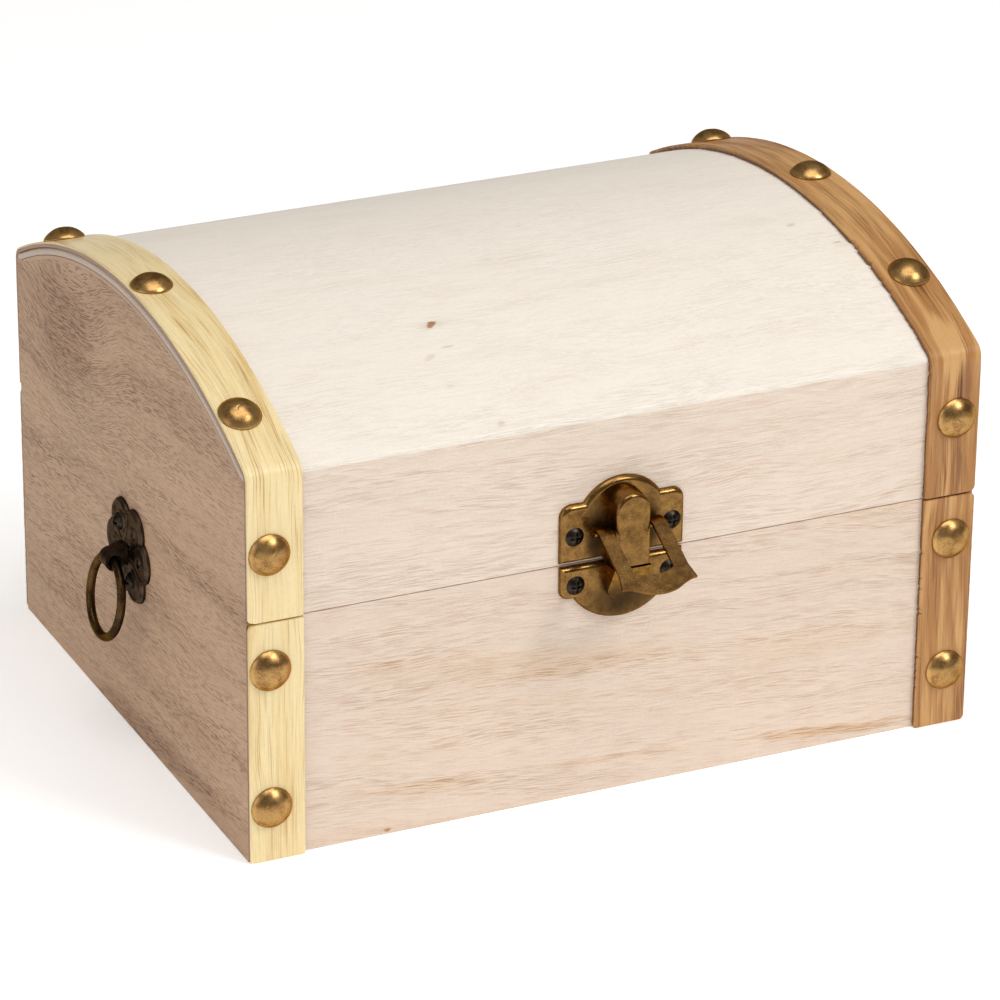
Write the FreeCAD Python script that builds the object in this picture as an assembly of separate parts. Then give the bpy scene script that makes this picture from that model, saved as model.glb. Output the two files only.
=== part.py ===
import FreeCAD, Part
import math
import os

Vector = FreeCAD.Vector
os.makedirs("parts", exist_ok=True)

# A small raw-wood treasure chest with a barrel lid, used as a money box.
# Millimetres. +Z is up, +X runs to the right along the front, and the front face looks along -Y.
# The origin is the middle of the footprint, on the surface that the chest stands on.

# Carcass
WIDTH = 190.0
DEPTH = 151.0
ARC_RADIUS = 161.7
ARC_CENTRE_Z = -45.0
SEAM_Z = 61.5
SEAM_GAP = 0.25
WALL = 8.0
END_WALL = 10.0
FLOOR = 5.0
SKIN = 3.0
SKIN_FRONT_EDGE = 1.1
HALF_WIDTH = WIDTH / 2
HALF_DEPTH = DEPTH / 2
INNER_X = HALF_WIDTH - END_WALL
INNER_Y = HALF_DEPTH - WALL
BOX_TOP = SEAM_Z - SEAM_GAP / 2
LID_BOTTOM = SEAM_Z + SEAM_GAP / 2

# Wooden bands that wrap each end of the chest
BAND_WIDTH = 14.0
BAND_THICKNESS = 1.4
BAND_SEAM_SETBACK = 0.15
BAND_SHOULDER_RADIUS = 2.5
BAND_FOOT_RADIUS = 1.2
BAND_SEAM_RADIUS = 1.4

# Domed upholstery nails
NAIL_HEAD_RADIUS = 5.15
NAIL_HEAD_HEIGHT = 3.0
NAIL_RIM = 0.35
NAIL_SHANK_RADIUS = 0.9
NAIL_LENGTH = 12.0
NAIL_INSET = {-1: 5.4, 1: 6.3}
NAIL_ARC_ANGLES = {-1: (-21.6, -1.7, 19.8), 1: (-18.2, 0.2, 19.8)}
NAIL_LID_Z = {-1: 78.6, 1: 82.0}
NAIL_BOX_Z = {-1: (49.4, 14.0), 1: (50.2, 14.8)}
HOLE_PLAY = 0.05

# Round-head screws
LATCH_SCREW = {"head": 2.4, "height": 1.2, "shank": 1.1, "length": 7.0}
HANDLE_SCREW = {"head": 2.3, "height": 1.4, "shank": 1.1, "length": 8.0}
HINGE_SCREW = {"head": 1.9, "height": 1.0, "shank": 0.9, "length": 6.0}

# Front latch
LATCH_PLATE = 1.5
LATCH_EDGE_RADIUS = 1.4
LID_PLATE_HALF_WIDTH = 16.15
LID_PLATE_BOTTOM = 62.2
LID_PLATE_EAR_TOP = 76.9
LID_PLATE_BULGE_RADIUS = 11.85
LID_PLATE_BULGE_Z = 70.4
LID_PLATE_CORNER = 3.0
LID_SCREW_X = 12.65
LID_SCREW_Z = 69.0
BOX_PLATE_HALF_WIDTH = 16.0
BOX_PLATE_TOP = 61.2
BOX_PLATE_EAR_BOTTOM = 52.7
BOX_PLATE_BULGE_RADIUS = 14.5
BOX_PLATE_BULGE_Z = 60.5
BOX_PLATE_CORNER = 2.5
BOX_SCREW_X = 12.2
BOX_SCREW_Z = 56.4
HOOD_OUT = 7.4
HOOD_TOP = 80.0
HOOD_BOTTOM = 61.8
HOOD_FACE_HALF_WIDTH = 4.4
HOOD_BASE_HALF_WIDTH = 4.8
HOOD_WALL = 0.7
HOOD_EDGE_RADIUS = 1.0
NOSE_FOOT_Z = 50.8
BAIL_PIVOT_OUT = 3.3
BAIL_PIVOT_Z = 70.2
BAIL_PIN_RADIUS = 0.6
BAIL_EYE_PLAY = 0.06
BAIL_STRIP = 0.7
BAIL_HALF_WIDTH = 8.9
BAIL_WINDOW_HALF_WIDTH = 5.2
BAIL_CORNER_HALF_WIDTH = 9.7
BAIL_SHANK = 1.2
BAIL_BEND_RADIUS = 6.0
BAIL_DROP = 28.0
BAIL_WINDOW_LENGTH = 15.2
BAIL_WINDOW_SAG = 1.4
BAIL_CORNER_LENGTH = 19.2
BAIL_LIP_LENGTH = 22.0

# Ring handles, one on each end
HANDLE_Y = -1.5
HANDLE_Z = 49.0
HANDLE_PLATE = 1.6
PETAL_RADIUS = 5.5
PETAL_REACH = 7.8
PETAL_ANGLES = (0, 58, 122, 180, 238, 302)
HANDLE_SCREW_REACH = 7.4
HANDLE_SCREW_ANGLE = 120.0
EYE_OUT = 5.0
EYE_DROP = 1.3
EYE_RADIUS = 2.45
EYE_HOLE_RADIUS = 1.65
EYE_HALF_LENGTH = 2.3
EYE_ROOT_RISE = 2.2
RING_RADIUS = 9.9
RING_WIRE_RADIUS = 1.1
RING_TILT = 10.0

# Butt hinges on the back
HINGE_X = 52.0
HINGE_LENGTH = 18.0
HINGE_AXIS_OUT = 2.1
HINGE_LEAF = 0.9
HINGE_LEAF_HEIGHT = 9.5
HINGE_KNUCKLE_RADIUS = 1.8
HINGE_PIN_RADIUS = 0.8
HINGE_PIN_PLAY = 0.06
HINGE_KNUCKLE_GAP = 0.25
HINGE_SCREW_SPREAD = 5.2


def save(name, shape):
    """Write one named piece and say how many solids it has."""
    shape.exportStep("parts/" + name + ".step")
    print(name, len(shape.Solids), round(shape.Volume, 1), shape.isValid())


def block(x0, x1, y0, y1, z0, z1):
    return Part.makeBox(x1 - x0, y1 - y0, z1 - z0, Vector(x0, y0, z0))


def rod(radius, start, direction, length):
    return Part.makeCylinder(radius, length, Vector(*start), Vector(*direction))


def prism_x(edges, x0, x1):
    """Extrude a closed outline drawn in the YZ plane from x0 to x1."""
    face = Part.Face(Part.Wire(edges))
    face.translate(Vector(x0, 0, 0))
    return face.extrude(Vector(x1 - x0, 0, 0))


def line(a, b):
    return Part.LineSegment(Vector(*a), Vector(*b)).toShape()


def arc(a, middle, b):
    return Part.Arc(Vector(*a), Vector(*middle), Vector(*b)).toShape()


def polygon(points):
    """Closed straight-sided outline through the points, as a list of edges."""
    return [line(points[i], points[(i + 1) % len(points)]) for i in range(len(points))]


def arch_z(radius, y):
    """Height of the barrel at depth y for a skin surface of the given radius."""
    return ARC_CENTRE_Z + math.sqrt(radius ** 2 - y ** 2)


def barrel_edge(radius, y):
    """Curved edge of the barrel from -y to +y at the given radius."""
    return arc((0, -y, arch_z(radius, y)), (0, 0, ARC_CENTRE_Z + radius), (0, y, arch_z(radius, y)))


def round_edges(shape, radius, chosen):
    """Round the edges of shape that the test picks."""
    return shape.makeFillet(radius, [edge for edge in shape.Edges if chosen(edge)])


def runs_along(edge, axis):
    first = edge.Vertexes[0].Point
    last = edge.Vertexes[-1].Point
    span = last.sub(first)
    return span.Length > 0.01 and abs(abs(span.dot(axis)) / span.Length - 1) < 1e-4


def place(shape, point, outward):
    """Stand a piece that was drawn along +Z on a surface point, facing outward."""
    turn = FreeCAD.Rotation(Vector(0, 0, 1), Vector(*outward))
    moved = shape.copy()
    moved.Placement = FreeCAD.Placement(Vector(*point), turn).multiply(moved.Placement)
    return moved


def cut_all(shape, tools):
    for tool in tools:
        shape = shape.cut(tool)
    return shape


def fuse_all(shapes):
    result = shapes[0]
    for shape in shapes[1:]:
        result = result.fuse(shape)
    return result.removeSplitter()


# Fasteners: where each one stands and which way it faces

def nail():
    """Domed head on a pointed shank, drawn with the underside of the head at z = 0."""
    cap_height = NAIL_HEAD_HEIGHT - NAIL_RIM
    cap_radius = (NAIL_HEAD_RADIUS ** 2 + cap_height ** 2) / (2 * cap_height)
    half_angle = math.asin(NAIL_HEAD_RADIUS / cap_radius) / 2
    middle = (cap_radius * math.sin(half_angle), 0,
              NAIL_HEAD_HEIGHT - cap_radius * (1 - math.cos(half_angle)))
    edges = [
        line((0, 0, -NAIL_LENGTH), (NAIL_SHANK_RADIUS, 0, -NAIL_LENGTH + 2)),
        line((NAIL_SHANK_RADIUS, 0, -NAIL_LENGTH + 2), (NAIL_SHANK_RADIUS, 0, 0)),
        line((NAIL_SHANK_RADIUS, 0, 0), (NAIL_HEAD_RADIUS, 0, 0)),
        line((NAIL_HEAD_RADIUS, 0, 0), (NAIL_HEAD_RADIUS, 0, NAIL_RIM)),
        arc((NAIL_HEAD_RADIUS, 0, NAIL_RIM), middle, (0, 0, NAIL_HEAD_HEIGHT)),
        line((0, 0, NAIL_HEAD_HEIGHT), (0, 0, -NAIL_LENGTH)),
    ]
    return Part.Face(Part.Wire(edges)).revolve(Vector(0, 0, 0), Vector(0, 0, 1), 360)


def screw(size):
    """Domed head with a crossed slot, drawn with the underside of the head at z = 0."""
    head_radius = size["head"]
    height = size["height"]
    sphere_radius = (head_radius ** 2 + height ** 2) / (2 * height)
    ball = Part.makeSphere(sphere_radius, Vector(0, 0, height - sphere_radius))
    head = ball.common(rod(head_radius, (0, 0, 0), (0, 0, 1), height + 1))
    shank = rod(size["shank"], (0, 0, -size["length"]), (0, 0, 1), size["length"])
    slot_half = head_radius * 0.14
    reach = head_radius * 0.6
    floor = height * 0.45
    slots = [block(-reach, reach, -slot_half, slot_half, floor, height + 1),
             block(-slot_half, slot_half, -reach, reach, floor, height + 1)]
    return cut_all(head.fuse(shank).removeSplitter(), slots)


def nail_places(lid):
    """Surface point and outward direction of every band nail on the lid or the box."""
    places = []
    band_face = HALF_DEPTH + BAND_THICKNESS
    for side in (-1, 1):
        x = side * (HALF_WIDTH - NAIL_INSET[side])
        heights = (NAIL_LID_Z[side],) if lid else NAIL_BOX_Z[side]
        for z in heights:
            places.append(((x, -band_face, z), (0, -1, 0)))
            places.append(((x, band_face, z), (0, 1, 0)))
        if lid:
            for angle in NAIL_ARC_ANGLES[side]:
                lean = math.radians(angle)
                radius = ARC_RADIUS + BAND_THICKNESS
                point = (x, radius * math.sin(lean), ARC_CENTRE_Z + radius * math.cos(lean))
                places.append((point, (0, math.sin(lean), math.cos(lean))))
    return places


def latch_screw_places(lid):
    x = LID_SCREW_X if lid else BOX_SCREW_X
    z = LID_SCREW_Z if lid else BOX_SCREW_Z
    return [((side * x, -HALF_DEPTH - LATCH_PLATE, z), (0, -1, 0)) for side in (-1, 1)]


def hinge_screw_places(lid):
    z = SEAM_Z + (HINGE_LEAF_HEIGHT * 0.6 if lid else -HINGE_LEAF_HEIGHT * 0.6)
    return [((side * HINGE_X + spread, HALF_DEPTH + HINGE_LEAF, z), (0, 1, 0))
            for side in (-1, 1) for spread in (-HINGE_SCREW_SPREAD, HINGE_SCREW_SPREAD)]


def handle_screw_places(side):
    places = []
    for turn in (HANDLE_SCREW_ANGLE, HANDLE_SCREW_ANGLE + 180):
        angle = math.radians(turn)
        y = HANDLE_Y - HANDLE_SCREW_REACH * math.cos(angle)
        z = HANDLE_Z + HANDLE_SCREW_REACH * math.sin(angle)
        places.append(((side * (HALF_WIDTH + HANDLE_PLATE), y, z), (side, 0, 0)))
    return places


def bores(places, radius, length):
    """Holes for a set of fasteners, a little deeper and wider than their shanks."""
    tool = rod(radius + HOLE_PLAY, (0, 0, -length - 0.5), (0, 0, 1), length + 4)
    return [place(tool, point, outward) for point, outward in places]


def nail_bores(lid):
    return bores(nail_places(lid), NAIL_SHANK_RADIUS, NAIL_LENGTH)


def screw_bores(places, size):
    return bores(places, size["shank"], size["length"])


# Box carcass: a floor let in between the walls, front and back between the two ends

def box_carcass():
    front_holes = screw_bores(latch_screw_places(False), LATCH_SCREW)
    back_holes = screw_bores(hinge_screw_places(False), HINGE_SCREW)
    save("box_bottom_panel", block(-INNER_X, INNER_X, -INNER_Y, INNER_Y, 0, FLOOR))
    front = block(-INNER_X, INNER_X, -HALF_DEPTH, -INNER_Y, 0, BOX_TOP)
    save("box_front_panel", cut_all(front, front_holes))
    back = block(-INNER_X, INNER_X, INNER_Y, HALF_DEPTH, 0, BOX_TOP)
    save("box_back_panel", cut_all(back, back_holes))
    for side, name in ((-1, "box_left_end"), (1, "box_right_end")):
        x0, x1 = sorted((side * INNER_X, side * HALF_WIDTH))
        end = block(x0, x1, -HALF_DEPTH, HALF_DEPTH, 0, BOX_TOP)
        end = cut_all(end, nail_bores(False))
        save(name, cut_all(end, screw_bores(handle_screw_places(side), HANDLE_SCREW)))


# Lid: two arched ends, low front and back rails, and a bent skin over the top

def skin_underside():
    """Underside of the skin from the front edge to the back edge, thinned over both rails."""
    edge_z = arch_z(ARC_RADIUS, HALF_DEPTH) - SKIN_FRONT_EDGE
    rail_z = arch_z(ARC_RADIUS - SKIN, INNER_Y)
    return [
        line((0, -HALF_DEPTH, edge_z), (0, -INNER_Y, rail_z)),
        barrel_edge(ARC_RADIUS - SKIN, INNER_Y),
        line((0, INNER_Y, rail_z), (0, HALF_DEPTH, edge_z)),
    ]


def lid_body():
    edge_z = arch_z(ARC_RADIUS, HALF_DEPTH) - SKIN_FRONT_EDGE
    rail_z = arch_z(ARC_RADIUS - SKIN, INNER_Y)
    shoulder = arch_z(ARC_RADIUS, HALF_DEPTH)
    for side, name, holes in (
            (-1, "lid_front_panel", screw_bores(latch_screw_places(True), LATCH_SCREW)),
            (1, "lid_back_panel", screw_bores(hinge_screw_places(True), HINGE_SCREW))):
        outer = side * HALF_DEPTH
        inner = side * INNER_Y
        outline = [(0, outer, LID_BOTTOM), (0, outer, edge_z), (0, inner, rail_z), (0, inner, LID_BOTTOM)]
        save(name, cut_all(prism_x(polygon(outline), -INNER_X, INNER_X), holes))
    for side, name in ((-1, "lid_left_end"), (1, "lid_right_end")):
        x0, x1 = sorted((side * INNER_X, side * HALF_WIDTH))
        outline = skin_underside() + [
            line((0, HALF_DEPTH, edge_z), (0, HALF_DEPTH, LID_BOTTOM)),
            line((0, HALF_DEPTH, LID_BOTTOM), (0, -HALF_DEPTH, LID_BOTTOM)),
            line((0, -HALF_DEPTH, LID_BOTTOM), (0, -HALF_DEPTH, edge_z)),
        ]
        save(name, cut_all(prism_x(outline, x0, x1), nail_bores(True)))
    outline = skin_underside() + [
        line((0, HALF_DEPTH, edge_z), (0, HALF_DEPTH, shoulder)),
        barrel_edge(ARC_RADIUS, HALF_DEPTH),
        line((0, -HALF_DEPTH, shoulder), (0, -HALF_DEPTH, edge_z)),
    ]
    save("lid_curved_top", cut_all(prism_x(outline, -HALF_WIDTH, HALF_WIDTH), nail_bores(True)))


# Bands: one hoop over the lid and one strip down the box at each corner

def lid_band(side):
    foot = LID_BOTTOM + BAND_SEAM_SETBACK
    inner_shoulder = arch_z(ARC_RADIUS, HALF_DEPTH)
    outer_radius = ARC_RADIUS + BAND_THICKNESS
    outer_y = HALF_DEPTH + BAND_THICKNESS
    outer_shoulder = arch_z(outer_radius, outer_y)
    x0, x1 = sorted((side * (HALF_WIDTH - BAND_WIDTH), side * HALF_WIDTH))
    outline = [
        line((0, -HALF_DEPTH, foot), (0, -HALF_DEPTH, inner_shoulder)),
        barrel_edge(ARC_RADIUS, HALF_DEPTH),
        line((0, HALF_DEPTH, inner_shoulder), (0, HALF_DEPTH, foot)),
        line((0, HALF_DEPTH, foot), (0, outer_y, foot)),
        line((0, outer_y, foot), (0, outer_y, outer_shoulder)),
        barrel_edge(outer_radius, outer_y),
        line((0, -outer_y, outer_shoulder), (0, -outer_y, foot)),
        line((0, -outer_y, foot), (0, -HALF_DEPTH, foot)),
    ]
    band = prism_x(outline, x0, x1)
    band = round_edges(band, BAND_SHOULDER_RADIUS, lambda edge: (
        runs_along(edge, Vector(1, 0, 0)) and abs(edge.CenterOfMass.z - outer_shoulder) < 0.01
        and abs(abs(edge.CenterOfMass.y) - outer_y) < 0.01))
    band = round_edges(band, BAND_SEAM_RADIUS, lambda edge: (
        runs_along(edge, Vector(0, 1, 0)) and abs(edge.CenterOfMass.z - foot) < 0.01
        and abs(edge.CenterOfMass.x - side * HALF_WIDTH) < 0.01))
    return cut_all(band, nail_bores(True))


def box_band(side, face):
    top = BOX_TOP - BAND_SEAM_SETBACK
    x0, x1 = sorted((side * (HALF_WIDTH - BAND_WIDTH), side * HALF_WIDTH))
    y0, y1 = sorted((face * HALF_DEPTH, face * (HALF_DEPTH + BAND_THICKNESS)))
    band = block(x0, x1, y0, y1, 0, top)
    for z, radius in ((0, BAND_FOOT_RADIUS), (top, BAND_SEAM_RADIUS)):
        band = round_edges(band, radius, lambda edge: (
            runs_along(edge, Vector(0, 1, 0)) and abs(edge.CenterOfMass.z - z) < 0.01
            and abs(edge.CenterOfMass.x - side * HALF_WIDTH) < 0.01))
    return cut_all(band, nail_bores(False))


def bands_and_nails():
    for side, side_name in ((-1, "left"), (1, "right")):
        save("lid_band_" + side_name, lid_band(side))
        for face, face_name in ((-1, "front"), (1, "back")):
            save("box_band_" + face_name + "_" + side_name, box_band(side, face))
    for lid, name in ((True, "lid_band_nails"), (False, "box_band_nails")):
        nails = [place(nail(), point, outward) for point, outward in nail_places(lid)]
        save(name, Part.makeCompound(nails))


# Latch: two pressed plates, each with its half of a raised hood, and a swinging bail on a pin

def pressed_plate(ears, bulge, keep):
    """Ears and a round bulge joined into one plate whose front rim is rolled over."""
    plate = fuse_all([ears, bulge]).common(keep)
    front = -HALF_DEPTH - LATCH_PLATE
    return round_edges(plate, LATCH_EDGE_RADIUS, lambda edge: abs(edge.BoundBox.YMax - front) < 0.01)


def arch_wire(half_width, top, bottom, out):
    """Door-shaped outline: straight jambs under a half-round head, at a distance out of the front."""
    y = -HALF_DEPTH - out
    spring = top - half_width
    return Part.Wire([
        line((-half_width, y, bottom), (-half_width, y, spring)),
        arc((-half_width, y, spring), (0, y, top), (half_width, y, spring)),
        line((half_width, y, spring), (half_width, y, bottom)),
        line((half_width, y, bottom), (-half_width, y, bottom)),
    ])


def hood_solid(shrink, back):
    """Tapered hood from the wood outwards, smaller all round by shrink."""
    base_half = HOOD_BASE_HALF_WIDTH - shrink
    face_half = HOOD_FACE_HALF_WIDTH - shrink
    bottom = HOOD_BOTTOM - (1 if shrink else 0)
    base = arch_wire(base_half, HOOD_TOP + 0.4 - shrink, bottom, back)
    face = arch_wire(face_half, HOOD_TOP - shrink, bottom, HOOD_OUT - shrink)
    return Part.makeLoft([base, face], True)


def latch_lid_plate():
    y0 = -HALF_DEPTH - LATCH_PLATE
    ears = block(-LID_PLATE_HALF_WIDTH, LID_PLATE_HALF_WIDTH, y0, -HALF_DEPTH,
                 LID_PLATE_BOTTOM, LID_PLATE_EAR_TOP)
    ears = round_edges(ears, LID_PLATE_CORNER, lambda edge: (
        runs_along(edge, Vector(0, 1, 0)) and edge.CenterOfMass.z > LID_PLATE_EAR_TOP - 0.01))
    bulge = rod(LID_PLATE_BULGE_RADIUS, (0, y0, LID_PLATE_BULGE_Z), (0, 1, 0), LATCH_PLATE)
    keep = block(-30, 30, y0, -HALF_DEPTH, LID_PLATE_BOTTOM, 100)
    plate = pressed_plate(ears, bulge, keep)
    hood = round_edges(hood_solid(0, 0), HOOD_EDGE_RADIUS, lambda edge: (
        abs(edge.BoundBox.YMax + HALF_DEPTH + HOOD_OUT) < 0.01 and edge.CenterOfMass.z > HOOD_BOTTOM + 0.1))
    plate = fuse_all([plate, hood]).cut(hood_solid(HOOD_WALL, -0.01))
    pin_hole = rod(BAIL_PIN_RADIUS, (-10, -HALF_DEPTH - BAIL_PIVOT_OUT, BAIL_PIVOT_Z), (1, 0, 0), 20)
    return cut_all(plate, [pin_hole] + screw_bores(latch_screw_places(True), LATCH_SCREW))


def nose_solid(shrink, back):
    """Half hood under the seam: a U in front view, cut back by a slope from its top edge to its foot."""
    half = HOOD_BASE_HALF_WIDTH - shrink
    top = BOX_PLATE_TOP + (1 if shrink else 0)
    spring = NOSE_FOOT_Z + HOOD_BASE_HALF_WIDTH
    y = -HALF_DEPTH - back
    reach = HOOD_OUT - back
    bowl = rod(half, (0, y, spring), (0, -1, 0), reach)
    sides = block(-half, half, y - reach, y, spring, top)
    slope = (HOOD_OUT - LATCH_PLATE) / (BOX_PLATE_TOP - NOSE_FOOT_Z)
    out_top = HOOD_OUT - shrink + slope * (top - BOX_PLATE_TOP)
    wedge = prism_x(polygon([
        (0, -HALF_DEPTH + 1, NOSE_FOOT_Z - 5), (0, -HALF_DEPTH - LATCH_PLATE + slope * 5 + shrink, NOSE_FOOT_Z - 5),
        (0, -HALF_DEPTH - out_top, top), (0, -HALF_DEPTH + 1, top)]), -10, 10)
    return fuse_all([bowl, sides]).common(wedge)


def latch_box_plate():
    y0 = -HALF_DEPTH - LATCH_PLATE
    ears = block(-BOX_PLATE_HALF_WIDTH, BOX_PLATE_HALF_WIDTH, y0, -HALF_DEPTH,
                 BOX_PLATE_EAR_BOTTOM, BOX_PLATE_TOP)
    ears = round_edges(ears, BOX_PLATE_CORNER, lambda edge: (
        runs_along(edge, Vector(0, 1, 0)) and edge.CenterOfMass.z < BOX_PLATE_EAR_BOTTOM + 0.01))
    bulge = rod(BOX_PLATE_BULGE_RADIUS, (0, y0, BOX_PLATE_BULGE_Z), (0, 1, 0), LATCH_PLATE)
    keep = block(-30, 30, y0, -HALF_DEPTH, 30, BOX_PLATE_TOP)
    plate = fuse_all([pressed_plate(ears, bulge, keep), nose_solid(0, 0)])
    plate = plate.cut(nose_solid(HOOD_WALL, -0.01))
    return cut_all(plate, screw_bores(latch_screw_places(False), LATCH_SCREW))


def bail_outline(points_out, depth):
    """Flat outline in the bail's own plane, drawn as (x, distance from pivot) and made a thick slab."""
    face = Part.Face(Part.Wire(points_out))
    slab = face.extrude(Vector(0, 0, 2 * depth))
    slab.translate(Vector(0, 0, -depth))
    slab.rotate(Vector(0, 0, 0), Vector(1, 0, 0), BAIL_DROP)
    slab.translate(Vector(0, -HALF_DEPTH - BAIL_PIVOT_OUT, BAIL_PIVOT_Z))
    return slab


def latch_bail():
    """Stamped strip curled round the pin, bent down to the resting slope, with a window for the hood."""
    eye_outer = BAIL_PIN_RADIUS + BAIL_EYE_PLAY + BAIL_STRIP
    pivot_y = -HALF_DEPTH - BAIL_PIVOT_OUT
    top = BAIL_PIVOT_Z + eye_outer
    bend_y = pivot_y - BAIL_SHANK
    bend_z = top - BAIL_STRIP / 2 - BAIL_BEND_RADIUS
    outer = BAIL_BEND_RADIUS + BAIL_STRIP / 2
    inner = BAIL_BEND_RADIUS - BAIL_STRIP / 2

    def on_bend(radius, degrees):
        lean = math.radians(degrees)
        return (0, bend_y - radius * math.sin(lean), bend_z + radius * math.cos(lean))

    def along(point, length):
        drop = math.radians(BAIL_DROP)
        return (0, point[1] - length * math.cos(drop), point[2] - length * math.sin(drop))

    upper = on_bend(outer, BAIL_DROP)
    lower = on_bend(inner, BAIL_DROP)
    edges = [
        line((0, pivot_y, top), (0, bend_y, top)),
        arc((0, bend_y, top), on_bend(outer, BAIL_DROP / 2), upper),
        line(upper, along(upper, BAIL_LIP_LENGTH)),
        line(along(upper, BAIL_LIP_LENGTH), along(lower, BAIL_LIP_LENGTH)),
        line(along(lower, BAIL_LIP_LENGTH), lower),
        arc(lower, on_bend(inner, BAIL_DROP / 2), (0, bend_y, top - BAIL_STRIP)),
        line((0, bend_y, top - BAIL_STRIP), (0, pivot_y, top - BAIL_STRIP)),
        line((0, pivot_y, top - BAIL_STRIP), (0, pivot_y, top)),
    ]
    strip = prism_x(edges, -BAIL_CORNER_HALF_WIDTH, BAIL_CORNER_HALF_WIDTH)
    curl = rod(eye_outer, (-BAIL_HALF_WIDTH, pivot_y, BAIL_PIVOT_Z), (1, 0, 0), 2 * BAIL_HALF_WIDTH)
    whole = fuse_all([strip, curl])
    corner = BAIL_CORNER_HALF_WIDTH
    lip = Part.BSplineCurve()
    lip.interpolate([Vector(-corner, -BAIL_CORNER_LENGTH, 0),
                     Vector(-corner * 0.74, -BAIL_CORNER_LENGTH - 0.5, 0),
                     Vector(-corner * 0.45, -BAIL_LIP_LENGTH + 0.9, 0),
                     Vector(0, -BAIL_LIP_LENGTH, 0),
                     Vector(corner * 0.45, -BAIL_LIP_LENGTH + 0.9, 0),
                     Vector(corner * 0.74, -BAIL_CORNER_LENGTH - 0.5, 0),
                     Vector(corner, -BAIL_CORNER_LENGTH, 0)])
    half = BAIL_HALF_WIDTH
    flare = -BAIL_WINDOW_LENGTH
    outline = [
        lip.toShape(),
        line((corner, -BAIL_CORNER_LENGTH, 0), (half, flare, 0)),
        line((half, flare, 0), (half, 4, 0)),
        line((half, 4, 0), (-half, 4, 0)),
        line((-half, 4, 0), (-half, flare, 0)),
        line((-half, flare, 0), (-corner, -BAIL_CORNER_LENGTH, 0)),
    ]
    gap = BAIL_WINDOW_HALF_WIDTH
    foot = -BAIL_WINDOW_LENGTH
    window = [
        line((-gap, 5, 0), (-gap, foot, 0)),
        arc((-gap, foot, 0), (0, foot - BAIL_WINDOW_SAG, 0), (gap, foot, 0)),
        line((gap, foot, 0), (gap, 5, 0)),
        line((gap, 5, 0), (-gap, 5, 0)),
    ]
    bail = whole.common(bail_outline(outline, 8)).cut(bail_outline(window, 8))
    bore = rod(BAIL_PIN_RADIUS + BAIL_EYE_PLAY, (-20, pivot_y, BAIL_PIVOT_Z), (1, 0, 0), 40)
    return bail.cut(bore)


def latch():
    save("latch_lid_plate", latch_lid_plate())
    save("latch_box_plate", latch_box_plate())
    save("latch_bail", latch_bail())
    pin_half = BAIL_HALF_WIDTH + 0.4
    pin_start = (-pin_half, -HALF_DEPTH - BAIL_PIVOT_OUT, BAIL_PIVOT_Z)
    save("latch_bail_pin", rod(BAIL_PIN_RADIUS, pin_start, (1, 0, 0), 2 * pin_half))
    for lid, name in ((True, "latch_lid_screws"), (False, "latch_box_screws")):
        screws = [place(screw(LATCH_SCREW), point, outward) for point, outward in latch_screw_places(lid)]
        save(name, Part.makeCompound(screws))


# Ring handles: a six-petalled plate, an eye that stands out of it, and a wire ring through the eye

def handle_plate(side):
    start_x = side * HALF_WIDTH
    petals = [rod(PETAL_RADIUS,
                  (start_x, HANDLE_Y - PETAL_REACH * math.cos(math.radians(turn)),
                   HANDLE_Z + PETAL_REACH * math.sin(math.radians(turn))),
                  (side, 0, 0), HANDLE_PLATE) for turn in PETAL_ANGLES]
    middle = rod(PETAL_REACH, (start_x, HANDLE_Y, HANDLE_Z), (side, 0, 0), HANDLE_PLATE)
    plate = fuse_all(petals + [middle])
    face = side * (HALF_WIDTH + HANDLE_PLATE)
    plate = round_edges(plate, 0.5, lambda edge: (
        abs(edge.CenterOfMass.x - face) < 0.01 and edge.BoundBox.XLength < 0.01))
    return cut_all(plate, screw_bores(handle_screw_places(side), HANDLE_SCREW))


def handle_eye(side):
    """Tongue from the plate that ends in a short tube lying front to back."""
    root = side * (HALF_WIDTH + HANDLE_PLATE)
    axis_x = side * (HALF_WIDTH + EYE_OUT)
    axis_z = HANDLE_Z - EYE_DROP
    y0 = HANDLE_Y - EYE_HALF_LENGTH
    tube = rod(EYE_RADIUS, (axis_x, y0, axis_z), (0, 1, 0), 2 * EYE_HALF_LENGTH)
    tongue_points = [(root, y0, HANDLE_Z + EYE_ROOT_RISE), (axis_x, y0, axis_z + EYE_RADIUS),
                     (axis_x, y0, axis_z), (root, y0, axis_z - EYE_HOLE_RADIUS)]
    tongue = Part.Face(Part.Wire(polygon(tongue_points))).extrude(Vector(0, 2 * EYE_HALF_LENGTH, 0))
    hole = rod(EYE_HOLE_RADIUS, (axis_x, y0 - 1, axis_z), (0, 1, 0), 2 * EYE_HALF_LENGTH + 2)
    return fuse_all([tube, tongue]).cut(hole)


def handle_ring(side):
    """Wire ring whose top runs through the eye and whose bottom hangs a little outwards."""
    lean = math.radians(RING_TILT)
    centre = Vector(side * (HALF_WIDTH + EYE_OUT + RING_RADIUS * math.sin(lean)), HANDLE_Y,
                    HANDLE_Z - EYE_DROP - RING_RADIUS * math.cos(lean))
    normal = Vector(side * math.cos(lean), 0, math.sin(lean))
    return Part.makeTorus(RING_RADIUS, RING_WIRE_RADIUS, centre, normal)


def handles():
    for side, name in ((-1, "left"), (1, "right")):
        save("handle_plate_" + name, handle_plate(side))
        save("handle_eye_" + name, handle_eye(side))
        save("handle_ring_" + name, handle_ring(side))
        screws = [place(screw(HANDLE_SCREW), point, outward) for point, outward in handle_screw_places(side)]
        save("handle_screws_" + name, Part.makeCompound(screws))


# Hinges: two butt hinges on the back, each with two leaves on one pin

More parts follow.
